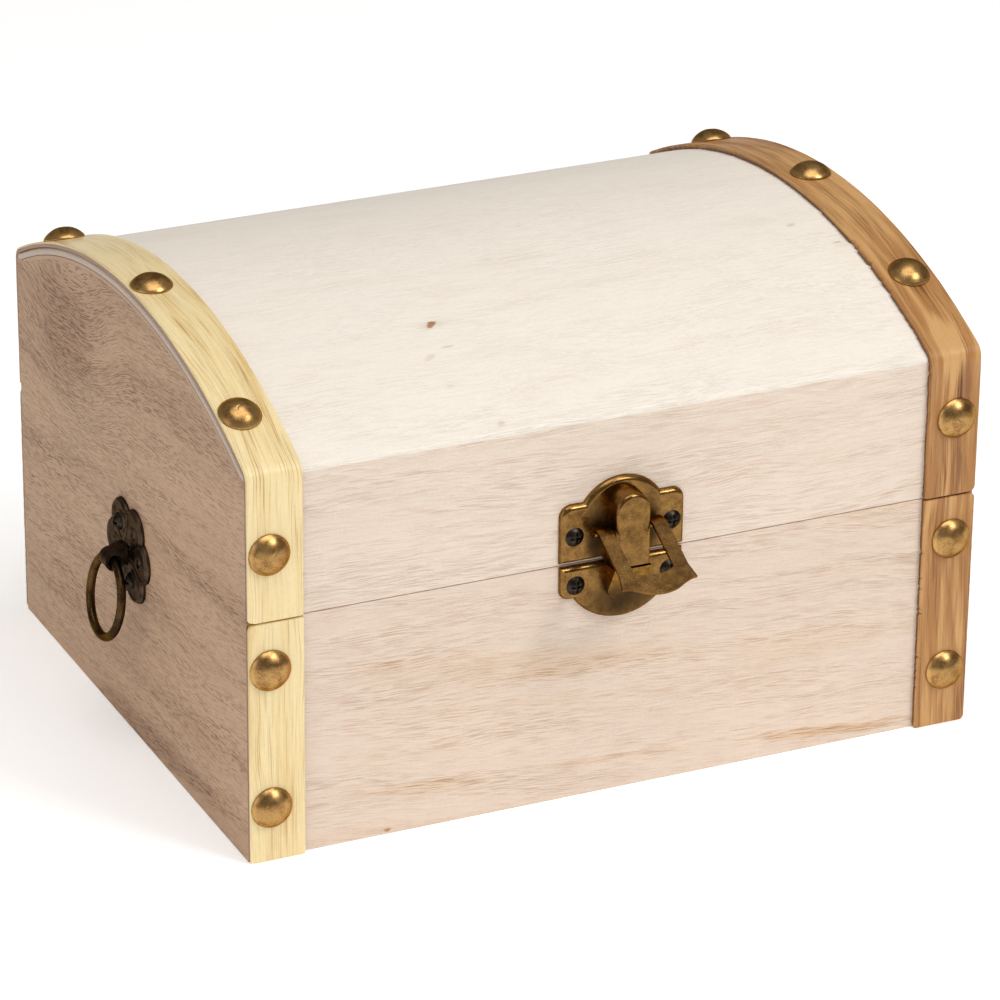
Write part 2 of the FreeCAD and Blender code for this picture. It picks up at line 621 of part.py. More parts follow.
def hinge_leaf(side, lid):
    """Flat leaf with knuckles; the box leaf has the two outer knuckles and the lid leaf the middle one."""
    axis_y = HALF_DEPTH + HINGE_AXIS_OUT
    x0 = side * HINGE_X - HINGE_LENGTH / 2
    third = HINGE_LENGTH / 3
    own = [1] if lid else [0, 2]
    z0, z1 = (SEAM_Z, SEAM_Z + HINGE_LEAF_HEIGHT) if lid else (SEAM_Z - HINGE_LEAF_HEIGHT, SEAM_Z)
    pieces = [block(x0, x0 + HINGE_LENGTH, HALF_DEPTH, HALF_DEPTH + HINGE_LEAF, z0, z1)]
    clearings = []
    for index in range(3):
        gap = HINGE_KNUCKLE_GAP / 2
        start = x0 + index * third
        if index in own:
            pieces.append(rod(HINGE_KNUCKLE_RADIUS, (start + gap, axis_y, SEAM_Z), (1, 0, 0), third - 2 * gap))
        else:
            clearings.append(rod(HINGE_KNUCKLE_RADIUS + HINGE_KNUCKLE_GAP, (start - gap, axis_y, SEAM_Z),
                                 (1, 0, 0), third + 2 * gap))
    play = HINGE_PIN_PLAY if lid else 0
    bore = rod(HINGE_PIN_RADIUS + play, (x0 - 1, axis_y, SEAM_Z), (1, 0, 0), HINGE_LENGTH + 2)
    leaf = cut_all(fuse_all(pieces), clearings + [bore])
    return cut_all(leaf, screw_bores(hinge_screw_places(lid), HINGE_SCREW))


def hinges():
    for side, name in ((-1, "left"), (1, "right")):
        save("hinge_box_leaf_" + name, hinge_leaf(side, False))
        save("hinge_lid_leaf_" + name, hinge_leaf(side, True))
        start = (side * HINGE_X - HINGE_LENGTH / 2 - 0.5, HALF_DEPTH + HINGE_AXIS_OUT, SEAM_Z)
        save("hinge_pin_" + name, rod(HINGE_PIN_RADIUS, start, (1, 0, 0), HINGE_LENGTH + 1))
    for lid, name in ((True, "hinge_lid_screws"), (False, "hinge_box_screws")):
        screws = [place(screw(HINGE_SCREW), point, outward) for point, outward in hinge_screw_places(lid)]
        save(name, Part.makeCompound(screws))


box_carcass()
lid_body()
bands_and_nails()
latch()
handles()
hinges()
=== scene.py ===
import math

import bmesh
import bpy
import numpy as np
from mathutils import Euler, Matrix, Vector


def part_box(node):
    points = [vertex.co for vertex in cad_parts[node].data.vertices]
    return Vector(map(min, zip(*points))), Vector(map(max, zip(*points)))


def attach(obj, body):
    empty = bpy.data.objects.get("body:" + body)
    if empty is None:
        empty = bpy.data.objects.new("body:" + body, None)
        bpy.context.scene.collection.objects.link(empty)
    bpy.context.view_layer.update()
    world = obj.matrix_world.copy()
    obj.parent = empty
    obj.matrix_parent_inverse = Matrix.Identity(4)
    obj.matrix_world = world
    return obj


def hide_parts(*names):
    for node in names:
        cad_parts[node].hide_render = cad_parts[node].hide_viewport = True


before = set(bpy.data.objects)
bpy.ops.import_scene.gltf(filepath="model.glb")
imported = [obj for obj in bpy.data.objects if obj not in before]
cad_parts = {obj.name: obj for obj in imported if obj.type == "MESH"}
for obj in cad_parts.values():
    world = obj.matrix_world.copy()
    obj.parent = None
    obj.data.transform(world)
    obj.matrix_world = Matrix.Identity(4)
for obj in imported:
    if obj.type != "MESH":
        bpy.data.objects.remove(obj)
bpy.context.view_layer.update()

# Box carcass
# Open tray of pale plywood boards: front and back stand between two thicker ends, round a let-in floor.
# Sawn, butt-glued and left raw, with every arris just broken by sandpaper.

MM = 0.001


class Wire:
    """One output of a material node. Arithmetic on it adds Math nodes, or Vector Math for a vector."""

    def __init__(self, tree, socket=None):
        self.tree = tree
        self.socket = socket

    def node(self, kind, settings=None, inputs=None, output=0):
        """Adds a node of this kind, sets its settings, fills its sockets and gives back one output."""
        made = self.tree.nodes.new(kind)
        for name, value in (settings or {}).items():
            setattr(made, name, value)
        for name, value in (inputs or {}).items():
            if isinstance(value, Wire):
                self.tree.links.new(value.socket, made.inputs[name])
            else:
                made.inputs[name].default_value = value
        return Wire(self.tree, made.outputs[output])

    def join(self, operation, first, second):
        """One step of arithmetic, channel by channel when either side is a vector or a colour."""
        sides = (first, second)
        if all(not isinstance(side, Wire) or side.socket.type == "VALUE" for side in sides):
            return self.node("ShaderNodeMath", {"operation": operation}, {0: first, 1: second})
        wide = [(side,) * 3 if isinstance(side, (int, float)) else side for side in sides]
        return self.node("ShaderNodeVectorMath", {"operation": operation}, {0: wide[0], 1: wide[1]})

    def __add__(self, other):
        return self.join("ADD", self, other)

    __radd__ = __add__

    def __sub__(self, other):
        return self.join("SUBTRACT", self, other)

    def __rsub__(self, other):
        return self.join("SUBTRACT", other, self)

    def __mul__(self, other):
        return self.join("MULTIPLY", self, other)

    __rmul__ = __mul__

    def __truediv__(self, other):
        return self.join("DIVIDE", self, other)

    def length(self):
        """The length of a vector."""
        return self.node("ShaderNodeVectorMath", {"operation": "LENGTH"}, {0: self}, "Value")

    def size(self):
        """The value without its sign."""
        return self.node("ShaderNodeMath", {"operation": "ABSOLUTE"}, {0: self})

    def part(self, axis):
        """The X, Y or Z of a vector."""
        return self.node("ShaderNodeSeparateXYZ", inputs={0: self}, output=axis)

    def rise(self, low, high):
        """0 below low, 1 above high and a smooth step between."""
        return self.node("ShaderNodeMapRange", {"interpolation_type": "SMOOTHSTEP"},
                         {"Value": self, "From Min": low, "From Max": high})

    def noise(self, cell, seed, detail=2.0, roughness=0.5):
        """Cloudy value from 0 to 1 over this position, with lumps of the given size along X, Y and Z."""
        spot = self / cell + (seed * 7.31, seed * 3.17, seed * 5.73)
        return self.node("ShaderNodeTexNoise", inputs={
            "Vector": spot, "Scale": 1.0, "Detail": detail, "Roughness": roughness})

    def blend(self, first, second):
        """This wire, from 0 to 1, goes from the first colour to the second."""
        return self.node("ShaderNodeMix", {"data_type": "RGBA"}, {0: self, 6: first, 7: second}, 2)


def tone(red, green, blue):
    """Colour for a socket from everyday screen values of 0 to 255."""
    return tuple(((level / 255 + 0.055) / 1.055) ** 2.4 for level in (red, green, blue)) + (1.0,)


def new_finish(name):
    """Empty material: gives back the material, a loose wire to start nodes from, and its shader."""
    finish = bpy.data.materials.new(name)
    finish.use_nodes = True
    return finish, Wire(finish.node_tree), finish.node_tree.nodes["Principled BSDF"]


def coat(start, shader, colour, roughness, height, depth, metallic=None):
    """Leads a finish's colour, roughness and relief (in metres) to its shader."""
    bump = start.node("ShaderNodeBump", inputs={"Height": height, "Distance": depth, "Strength": 1.0})
    start.tree.links.new(colour.socket, shader.inputs["Base Color"])
    start.tree.links.new(roughness.socket, shader.inputs["Roughness"])
    start.tree.links.new(bump.socket, shader.inputs["Normal"])
    if metallic is not None:
        start.tree.links.new(metallic.socket, shader.inputs["Metallic"])


def spot_mask(place, centre, half, core=0.25):
    """1 within the core of an ellipsoid, 0 outside it and a smooth slope between. The core is the share
    of the ellipsoid's size that is solid."""
    return 1.0 - ((place - centre) / half).length().rise(core, 1.0)


FIBRE_CELL = (0.010, 0.0008, 0.00028)
GRIT_CELL = (0.0008, 0.0008, 0.0008)
WANDER_CELL = (0.07, 0.05, 0.02)
WANDER_REACH = 0.008
RIPPLE_CELL = (0.016, 0.02, 0.006)
RIPPLE_REACH = 0.0008
CROWD_CELL = (0.05, 0.01, 0.004)
RAGGED_CELL = (0.02, 0.004, 0.004)
RAGGED_REACH = 0.006
EDGE_FADE = 0.4


def wood_finish(name, pale, warm, dark, seed, turn=(0, 0, 0), figure=(0.3, 0.45, 0.75), hairs=0.5,
                hair_cell=(0.008, 0.0006, 0.00017), hair_count=(0.52, 0.63), cells=(0.16, 0.03, 0.011),
                marks=(), hills=(), relief=0.00010, along_strip=False, gloss=(0.55, 0.75), edge=None):
    """Raw or oiled wood. In the grain's own frame X runs along it and Z across the face: broad figure,
    fine fibres and long thin open pores are noises stretched along X. A hill lifts the Z that they read,
    so they run round it like contour lines; a mark is one warm, dark or bleached patch, which may end with
    the share of its size that is solid. The edge gives the distance from the middle line in millimetres,
    across the grain of a strip or along X, where another colour starts."""
    finish, start, shader = new_finish(name)
    if along_strip:
        strip = start.node("ShaderNodeTexCoord", output="UV")
        place = start.node("ShaderNodeCombineXYZ", inputs={0: strip.part("Y"), 2: strip.part("X")})
        aside = strip.part("X").size()
    else:
        place = start.node("ShaderNodeTexCoord", output="Object")
        aside = place.part("X").size()
    frame_turn = Euler([math.radians(angle) for angle in turn])
    place = place.node("ShaderNodeMapping", inputs={"Vector": place, "Rotation": tuple(frame_turn)})

    def spot(mark):
        """Mask of a patch given in millimetres: centre on the piece, then half sizes along the grain."""
        centre = frame_turn.to_matrix() @ (Vector(mark[0]) * MM)
        ragged = place + (place.noise(RAGGED_CELL, seed + 3, 3.0) - 0.5) * RAGGED_REACH
        return spot_mask(ragged, tuple(centre), tuple(side * MM for side in mark[1]), *mark[4:])

    wander = place.noise(WANDER_CELL, seed, 2.0) - 0.5
    ripple = place.noise(RIPPLE_CELL, seed + 1, 1.0) - 0.5
    shift = wander * WANDER_REACH + ripple * RIPPLE_REACH
    for hill in hills:
        shift = shift + spot(hill) * (hill[2] * MM)
    flow = place + start.node("ShaderNodeCombineXYZ", inputs={2: shift})
    broad = flow.noise(cells, seed + 2, 3.0, 0.55).rise(figure[1], figure[2])
    fibre = flow.noise(FIBRE_CELL, seed + 5, 2.0, 0.6)
    grit = place.noise(GRIT_CELL, seed + 8, 1.0)
    warmth = broad * figure[0]
    darkness = 0.0
    for mark in marks:
        amount = spot(mark) * mark[2]
        if mark[3] == "warm":
            warmth = warmth + amount
        elif mark[3] == "pale":
            warmth = warmth - amount
        else:
            darkness = darkness + amount
    warmth = warmth.rise(0.0, 1.0)
    crowding = flow.noise(CROWD_CELL, seed + 7, 2.0).rise(0.30, 0.70)
    pores = flow.noise(hair_cell, seed + 6, 1.0).rise(*hair_count) * (0.30 + crowding * 0.45 + warmth * 0.6)
    colour = (pores * hairs + darkness).rise(0.0, 1.0).blend(warmth.blend(pale, warm), dark)
    if edge is not None:
        colour = aside.rise(edge[0] * MM, (edge[0] + EDGE_FADE) * MM).blend(colour, edge[1])
    shade = 0.92 + fibre * 0.11 + (grit - 0.5) * 0.09 + wander * 0.05
    height = fibre * 0.5 + grit * 0.35 - pores * 0.9
    roughness = gloss[0] + (gloss[1] - gloss[0]) * (fibre * 0.6 + pores * 0.4)
    coat(start, shader, colour * shade, roughness, height, relief)
    shader.inputs["Specular IOR Level"].default_value = 0.35
    return finish


def eased(corners, ease, arc_points=()):
    """Closed outline with each corner rounded by a quarter circle that starts one ease short of it and
    ends one past it. The arc's points, where there are any, follow the last corner uncut."""
    corners = np.array(corners, float)
    before = np.roll(corners, 1, axis=0)
    after = np.roll(corners, -1, axis=0)
    if len(arc_points):
        before[0] = arc_points[-1]
        after[-1] = arc_points[0]
    inward = (before - corners) / np.linalg.norm(before - corners, axis=1, keepdims=True)
    onward = (after - corners) / np.linalg.norm(after - corners, axis=1, keepdims=True)
    turn = np.linspace(0, math.pi / 2, 6)[None, :, None]
    bend = (1 - np.sin(turn)) * inward[:, None] + (1 - np.cos(turn)) * onward[:, None]
    curve = corners[:, None] + ease * bend
    lead = corners[:, None] + 1.5 * ease * inward[:, None]
    tail = corners[:, None] + 1.5 * ease * onward[:, None]
    outline = np.concatenate([lead, curve, tail], axis=1).reshape(-1, 2)
    return np.concatenate([outline, np.array(arc_points)]) if len(arc_points) else outline


def slab_rings(outline, low, high, ease, axis):
    """Rings of a board: its outline carried along one axis from low to high. Near both faces the outline
    steps inwards by ease times one less the sine, as the depth grows by one less the cosine."""
    tangent = np.roll(outline, -1, axis=0) - np.roll(outline, 1, axis=0)
    area = np.sum(outline[:, 0] * np.roll(outline[:, 1], -1) - np.roll(outline[:, 0], -1) * outline[:, 1])
    normal = np.stack([tangent[:, 1], -tangent[:, 0]], axis=1) * np.sign(area)
    normal /= np.linalg.norm(normal, axis=1, keepdims=True)
    turn = np.linspace(0, math.pi / 2, 5)
    inset = np.concatenate([[1.4 * ease], ease * (1 - np.sin(turn)), [0.0]])
    depth = np.concatenate([[0.0], ease * (1 - np.cos(turn)), [1.5 * ease]])
    inset = np.concatenate([inset, inset[::-1]])
    level = np.concatenate([low + depth, high - depth[::-1]])
    flat = outline[None] - normal[None] * inset[:, None, None]
    depths = np.broadcast_to(level[:, None, None], flat.shape[:2] + (1,))
    first, second = [other for other in range(3) if other != axis]
    rings = np.zeros(flat.shape[:2] + (3,))
    rings[..., first] = flat[..., 0]
    rings[..., second] = flat[..., 1]
    rings[..., axis] = depths[..., 0]
    return rings


SHARP_ANGLE = math.radians(50)


def make_piece(name, parts, finish, body, stands_for, uv=None, worn=None):
    """One piece from several closed surfaces, each a grid of rings in metres: every ring joins the next,
    each ring closes on itself, and the first and last are filled. Faces are then turned outwards."""
    points = np.concatenate([part.reshape(-1, 3) for part in parts])
    faces = []
    start = 0
    for part in parts:
        rows, columns = part.shape[:2]
        index = start + np.arange(rows * columns).reshape(rows, columns)
        beside = np.roll(index, -1, axis=1)
        quads = np.stack([index[:-1], beside[:-1], beside[1:], index[1:]], axis=-1)
        faces += quads.reshape(-1, 4).tolist() + [index[0][::-1].tolist(), index[-1].tolist()]
        start += rows * columns
    mesh = bpy.data.meshes.new(name)
    mesh.from_pydata(points, [], faces)
    shape = bmesh.new()
    shape.from_mesh(mesh)
    bmesh.ops.recalc_face_normals(shape, faces=shape.faces)
    shape.to_mesh(mesh)
    shape.free()
    mesh.polygons.foreach_set("use_smooth", np.ones(len(mesh.polygons), bool))
    mesh.set_sharp_from_angle(angle=SHARP_ANGLE)
    if uv is not None:
        corner = np.zeros(len(mesh.loops), int)
        mesh.loops.foreach_get("vertex_index", corner)
        layer = mesh.uv_layers.new(name="lengthwise")
        layer.data.foreach_set("uv", uv.reshape(-1, 2)[corner].astype(np.float32).ravel())
    if worn is not None:
        mesh.attributes.new("worn", "FLOAT", "POINT").data.foreach_set("value", worn.astype(np.float32))
    mesh.materials.append(finish)
    piece = bpy.data.objects.new(name, mesh)
    bpy.context.scene.collection.objects.link(piece)
    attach(piece, body)
    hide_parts(*stands_for)
    return piece


def board(node, finish, body, axis, ease, corner, grow=0.0):
    """A rectangular board in the space of its CAD node, with its face across the given axis. Its top may
    grow by a hair, to close the joint above it."""
    low, high = [np.array(far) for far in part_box(node)]
    high[2] += grow
    first, second = [other for other in range(3) if other != axis]
    corners = [(low[first], low[second]), (high[first], low[second]),
               (high[first], high[second]), (low[first], high[second])]
    rings = slab_rings(eased(corners, corner), low[axis], high[axis], ease, axis)
    return make_piece(node + "_board", [rings], finish, body, [node])


BOARD_EASE = 0.16 * MM
BOARD_CORNER = 0.20 * MM
JOINT_EASE = 0.05 * MM
JOINT_GROWTH = 0.12 * MM
PALE_BOX_FRONT = tone(231, 212, 195)
PALE_WARM = tone(222, 189, 154)
PALE_PORE = tone(190, 134, 88)
FRONT_STREAKS = (
    ((-52.0, -75.5, 41.5), (46.0, 60.0, 5.0), 0.30, "warm"),
    ((-8.0, -75.5, 37.0), (40.0, 60.0, 5.5), 0.30, "warm"),
    ((58.0, -75.5, 29.5), (52.0, 60.0, 5.0), 0.28, "warm"),
    ((-52.0, -75.5, 10.8), (34.0, 60.0, 2.6), 0.42, "warm"),
    ((2.0, -75.5, 8.0), (34.0, 60.0, 2.2), 0.45, "warm"),
    ((58.0, -75.5, 4.2), (36.0, 60.0, 2.0), 0.60, "warm"),
    ((60.0, -75.5, 4.0), (26.0, 60.0, 0.9), 0.12, "dark"),
    ((-60.0, -75.5, 1.0), (1.4, 60.0, 0.5), 0.80, "dark"),
    ((-78.0, -75.5, 28.0), (16.0, 60.0, 40.0), 0.40, "pale"),
)
box_front_finish = wood_finish("raw_paulownia_front", PALE_BOX_FRONT, PALE_WARM, PALE_PORE, 11,
                               turn=(0, -4.6, 0), figure=(0.42, 0.46, 0.74), hairs=0.68, marks=FRONT_STREAKS,
                               relief=0.00007)
board("box_front_panel", box_front_finish, "box", 1, BOARD_EASE, BOARD_CORNER)
plain_inside_finish = wood_finish("raw_paulownia_plain", PALE_BOX_FRONT, PALE_WARM, PALE_PORE, 23,
                                  turn=(0, 1.5, 0), figure=(0.40, 0.45, 0.72), hairs=0.62, relief=0.00007)
board("box_back_panel", plain_inside_finish, "box", 1, BOARD_EASE, BOARD_CORNER)
board("box_bottom_panel", plain_inside_finish, "box", 2, BOARD_EASE, BOARD_CORNER)

END_PALE = tone(202, 167, 136)
END_WARM = tone(172, 135, 105)
END_PORE = tone(118, 81, 57)
END_FIGURE = (
    ((-95.0, 0.0, 50.0), (300.0, 60.0, 300.0), 0.16, "warm"),
    ((-95.0, 35.0, 103.0), (112.0, 60.0, 46.0), 0.14, "warm", 0.50),
    ((-95.0, 42.0, 90.0), (26.0, 60.0, 18.0), 0.45, "warm"),
    ((-95.0, -52.0, 64.0), (50.0, 60.0, 20.0), 0.10, "warm"),
    ((-95.0, 14.0, 24.5), (70.0, 60.0, 8.0), 0.30, "warm"),
    ((-95.0, -10.0, 3.0), (80.0, 60.0, 6.0), 0.40, "warm"),
)
END_SWIRL = (((-95.0, 38.0, 90.0), (44.0, 90.0, 34.0), 9.0),)
end_finish = wood_finish("raw_paulownia_end", END_PALE, END_WARM, END_PORE, 37, turn=(5.5, 0, -90.0),
                         figure=(0.36, 0.38, 0.72), hairs=0.66, hair_cell=(0.0034, 0.0006, 0.00020),
                         hair_count=(0.50, 0.68), cells=(0.16, 0.03, 0.014), marks=END_FIGURE,
                         hills=END_SWIRL, relief=0.00014)
for node in ("box_left_end", "box_right_end"):
    board(node, end_finish, "box", 0, JOINT_EASE, JOINT_EASE, JOINT_GROWTH)

# Lid frame
# Low front and back rails of the same plywood between two arched ends, cut from one board with the
# ends of the box, so that their figure runs on across the closed joint.

LID_PALE = tone(236, 219, 203)
LID_WARM = tone(226, 200, 174)
lid_rail_finish = wood_finish("raw_paulownia_rail", LID_PALE, LID_WARM, PALE_PORE, 53, turn=(0, -1.0, 0),
                              figure=(0.40, 0.45, 0.75), hairs=0.52, relief=0.00007)
ARC_CENTRE = -45.0 * MM
ARC_OUTER = 161.7 * MM
ARC_INNER = 158.7 * MM
RAIL_Y = 67.5 * MM
FACE_Y = 75.5 * MM
SKIN_EDGE = 1.1 * MM
ARCH_CUT = 0.8 * MM


def arch(radius, y):
    """Height of the barrel at depth y, on a circle of the given radius."""
    return ARC_CENTRE + np.sqrt(radius ** 2 - y ** 2)


def underside(y):
    """Underside of the bent top: its inner circle over the box, then a straight slope over each rail."""
    edge = arch(ARC_OUTER, FACE_Y) - SKIN_EDGE
    slope = (arch(ARC_INNER, RAIL_Y) - edge) / (FACE_Y - RAIL_Y)
    sloped = edge + slope * (FACE_Y - np.abs(y))
    return np.where(np.abs(y) > RAIL_Y, sloped, arch(ARC_INNER, np.clip(y, -RAIL_Y, RAIL_Y)))


def rail(node, side):
    """Lid rail: upright board whose top is planed to the slope of the bent top, carried along X."""
    low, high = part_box(node)
    outer = side * FACE_Y
    inner = side * RAIL_Y
    outline = eased([(outer, low.z), (outer, float(underside(outer))), (inner, float(underside(inner))),
                     (inner, low.z)], JOINT_EASE)
    rings = slab_rings(outline, low.x, high.x, BOARD_EASE, 0)
    return make_piece(node + "_board", [rings], lid_rail_finish, "lid", [node])


def arched_end(node):
    """Lid end: square at the joint, with the barrel's arc over it, carried through its thickness."""
    low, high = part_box(node)
    sweep = np.linspace(FACE_Y - ARCH_CUT, ARCH_CUT - FACE_Y, 121)
    top = np.stack([sweep, underside(sweep)], axis=1)
    edge = float(underside(FACE_Y))
    foot = low.z - JOINT_GROWTH
    outline = eased([(-FACE_Y, edge), (-FACE_Y, foot), (FACE_Y, foot), (FACE_Y, edge)], JOINT_EASE, top)
    rings = slab_rings(outline, low.x, high.x, JOINT_EASE, 0)
    return make_piece(node + "_board", [rings], end_finish, "lid", [node])


rail("lid_front_panel", -1)
rail("lid_back_panel", 1)
arched_end("lid_left_end")
arched_end("lid_right_end")

# Curved lid top
# One sheet of thin ivory plywood bent over the rails and ends and glued down. Its long edges are planed
# to a thin lip over the rails, and its ends show as a rounded 3 mm rim over the end boards.

TOP_HALF_WIDTH = 95.0 * MM
TOP_RIM = 1.1 * MM
TOP_UNDER_RIM = 0.06 * MM
TOP_LIP = 0.8 * MM
TOP_STEP = 1.5 * MM


def rim_section(half_width, top, bottom, round_top, round_bottom):
    """Rounded rectangle round each ring: X and Z as arrays of rings by points. Each corner is a quarter
    circle, and the straight runs between corners get evenly spaced points."""
    turn = np.linspace(0, math.pi / 2, 7)
    run = np.linspace(-1, 1, 41)[1:-1]
    rows = np.ones((len(top), 1))
    upper = round_top[:, None]
    lower = round_bottom[:, None]
    wide = half_width[:, None]
    high = top[:, None]
    low = bottom[:, None]
    cos = np.cos(turn)[None]
    sin = np.sin(turn)[None]
    x = np.concatenate([wide - upper + upper * cos, -(wide - upper) * run * rows,
                        -(wide - upper) - upper * sin, -(wide - lower) - lower * cos,
                        (wide - lower) * run * rows, wide - lower + lower * sin], axis=1)
    z = np.concatenate([high - upper + upper * sin, high * np.ones_like(run)[None],
                        high - upper + upper * cos, low + lower - lower * sin,
                        low * np.ones_like(run)[None], low + lower - lower * cos], axis=1)
    return x, z


def circle_inset(distance, radius):
    """How far a corner circle of this radius stands back, at a distance from the end that it rounds: the
    radius less the height of the circle there, and nothing past the circle."""
    reach = np.clip(1 - distance / radius, 0, 1)
    return radius * (1 - np.sqrt(1 - reach ** 2))


def edge_steps(low, high, ease, spacing):
    """Stations from low to high, close together over both eased ends, and how far each is eased in."""
    turn = np.linspace(0, math.pi / 2, 7)
    near = ease * (1 - np.cos(turn))
    count = int((high - low) / spacing)
    middle = np.linspace(low + 1.5 * ease, high - 1.5 * ease, count)
    stations = np.concatenate([low + near, middle, high - near[::-1]])
    return stations, circle_inset(np.minimum(stations - low, high - stations), ease)


station, inset = edge_steps(-FACE_Y, FACE_Y, TOP_LIP, TOP_STEP)
crown_z = arch(ARC_OUTER, station) - inset
inner_z = underside(station)
thickness = crown_z - inner_z
section_x, section_z = rim_section(TOP_HALF_WIDTH - inset, crown_z, inner_z,
                                   np.minimum(TOP_RIM, 0.45 * thickness),
                                   np.minimum(TOP_UNDER_RIM, 0.2 * thickness))
top_rings = np.stack([section_x, np.broadcast_to(station[:, None], section_x.shape), section_z], axis=-1)

TOP_KNOTS = (
    ((-33.0, -39.4, 112.0), (1.5, 1.1, 15.0), 1.20, "dark"),
    ((-33.0, -39.4, 112.0), (5.0, 2.4, 15.0), 0.45, "warm"),
    ((-32.0, -47.7, 110.0), (2.4, 0.8, 15.0), 0.40, "dark"),
    ((-38.0, -50.4, 109.0), (2.0, 0.9, 15.0), 0.25, "dark"),
    ((-38.0, -61.1, 105.0), (2.0, 0.9, 15.0), 0.25, "dark"),
    ((-30.0, -73.0, 100.0), (1.8, 0.9, 15.0), 0.35, "dark"),
    ((71.0, -22.7, 115.0), (2.0, 0.9, 15.0), 0.35, "dark"),
    ((79.0, -32.5, 113.0), (1.7, 1.0, 15.0), 0.40, "dark"),
    ((20.0, -30.0, 114.0), (46.0, 9.0, 30.0), 0.15, "warm"),
)
TOP_IVORY = tone(246, 237, 225)
TOP_CREAM = tone(236, 222, 205)
TOP_PORE = tone(176, 132, 92)
TOP_END_GRAIN = tone(206, 186, 168)
LOWER_PLY = tone(190, 157, 128)
GLUE_BROWN = tone(122, 92, 70)
END_GRAIN_FROM = 93.6
LOWER_PLY_ENDS = (159.70 * MM, 159.85 * MM)
GLUE_STARTS = (159.60 * MM, 159.72 * MM)
GLUE_ENDS = (159.84 * MM, 159.98 * MM)


def show_plies(finish):
    """Colours the sheet's ends by their distance from the barrel's axis: a browner lower ply as far out as
    the ply joint, and a thin dark line of glue along the joint."""
    tree = finish.node_tree
    shader = tree.nodes["Principled BSDF"]
    place = Wire(tree).node("ShaderNodeTexCoord", output="Object")
    from_axis = (place * (0.0, 1.0, 1.0) - (0.0, 0.0, ARC_CENTRE)).length()
    rim = place.part("X").size().rise(END_GRAIN_FROM * MM, (END_GRAIN_FROM + EDGE_FADE) * MM)
    lower_ply = rim * (1.0 - from_axis.rise(*LOWER_PLY_ENDS))
    glue_line = rim * (from_axis.rise(*GLUE_STARTS) - from_axis.rise(*GLUE_ENDS))
    colour = Wire(tree, shader.inputs["Base Color"].links[0].from_socket)
    colour = lower_ply.blend(colour, LOWER_PLY)
    colour = glue_line.blend(colour, GLUE_BROWN)
    tree.links.new(colour.socket, shader.inputs["Base Color"])


top_finish = wood_finish("ivory_basswood_top", TOP_IVORY, TOP_CREAM, TOP_PORE, 71,
                         figure=(0.40, 0.36, 0.80), hairs=0.14, cells=(0.022, 0.006, 0.03), marks=TOP_KNOTS,
                         relief=0.00009, gloss=(0.50, 0.68), edge=(END_GRAIN_FROM, TOP_END_GRAIN))
show_plies(top_finish)
make_piece("lid_curved_top_sheet", [top_rings], top_finish, "lid", ["lid_curved_top"])

# Bands
# Strips of 1.4 mm veneer 14 mm wide, wrapped round each end of the chest and glued: one hoop over the
# lid and one short strip down each face of the box, honey yellow on the left and stained on the right.

BAND_WIDTH = 14.0 * MM
BAND_THICK = 1.4 * MM
BAND_FACE = FACE_Y + BAND_THICK
BAND_LID_FOOT = 61.775 * MM
BAND_BOX_TOP = 61.225 * MM
BEND_RADIUS = 4.0 * MM
SEAM_CORNER = 1.4 * MM
FOOT_CORNER = 1.2 * MM
BAND_EASE = 0.22 * MM
FACE_ROUND = 0.38 * MM
BACK_ROUND = 0.12 * MM
COARSE_STEPS = 24
COARSE_RAG = 0.06
FINE_STEPS = 260
FINE_RAG = 0.05
SPLINTER_STEPS = 90
SPLINTER_RAG = 0.22
SPLINTER_FROM = 0.72
OUTER_STEPS = 60
OUTER_RAG = 0.03 * MM
WAVE_STEPS = 30
WAVE_DEPTH = 0.05 * MM


def hoop_path():
    """Outer line of the lid band in Y and Z with its outward normals: up the front, round a small bend,
    over the barrel's arc, round the other bend and down the back. The half is worked out and mirrored."""
    big = ARC_OUTER + BAND_THICK
    centre_y = BAND_FACE - BEND_RADIUS
    centre_z = ARC_CENTRE + math.sqrt((big - BEND_RADIUS) ** 2 - centre_y ** 2)
    lean = math.asin(centre_y / (big - BEND_RADIUS))
    rise = np.linspace(BAND_LID_FOOT, centre_z, 96)[:-1]
    turn = np.linspace(math.pi / 2, lean, 13)
    sweep = np.linspace(lean, 0, 150)[1:]
    y = np.concatenate([np.full_like(rise, BAND_FACE), centre_y + BEND_RADIUS * np.sin(turn),
                        big * np.sin(sweep)])
    z = np.concatenate([rise, centre_z + BEND_RADIUS * np.cos(turn), ARC_CENTRE + big * np.cos(sweep)])
    normal_angle = np.concatenate([np.full_like(rise, math.pi / 2), turn, sweep])
    line = np.stack([-y, z], axis=1)
    normal = np.stack([-np.sin(normal_angle), np.cos(normal_angle)], axis=1)
    mirror = np.array([-1.0, 1.0])
    return (np.concatenate([line, line[-2::-1] * mirror]),
            np.concatenate([normal, normal[-2::-1] * mirror]))


def strip_path(face, low, high):
    """Outer line of a box band in Y and Z with its outward normals: straight from low to high."""
    z = np.concatenate([low + BAND_EASE * np.linspace(0, 1, 5)[:-1],
                        np.linspace(low + BAND_EASE, high - BAND_EASE, 150),
                        high - BAND_EASE * np.linspace(1, 0, 5)[1:]])
    return (np.stack([np.full_like(z, face * BAND_FACE), z], axis=1),
            np.tile([float(face), 0.0], (len(z), 1)))


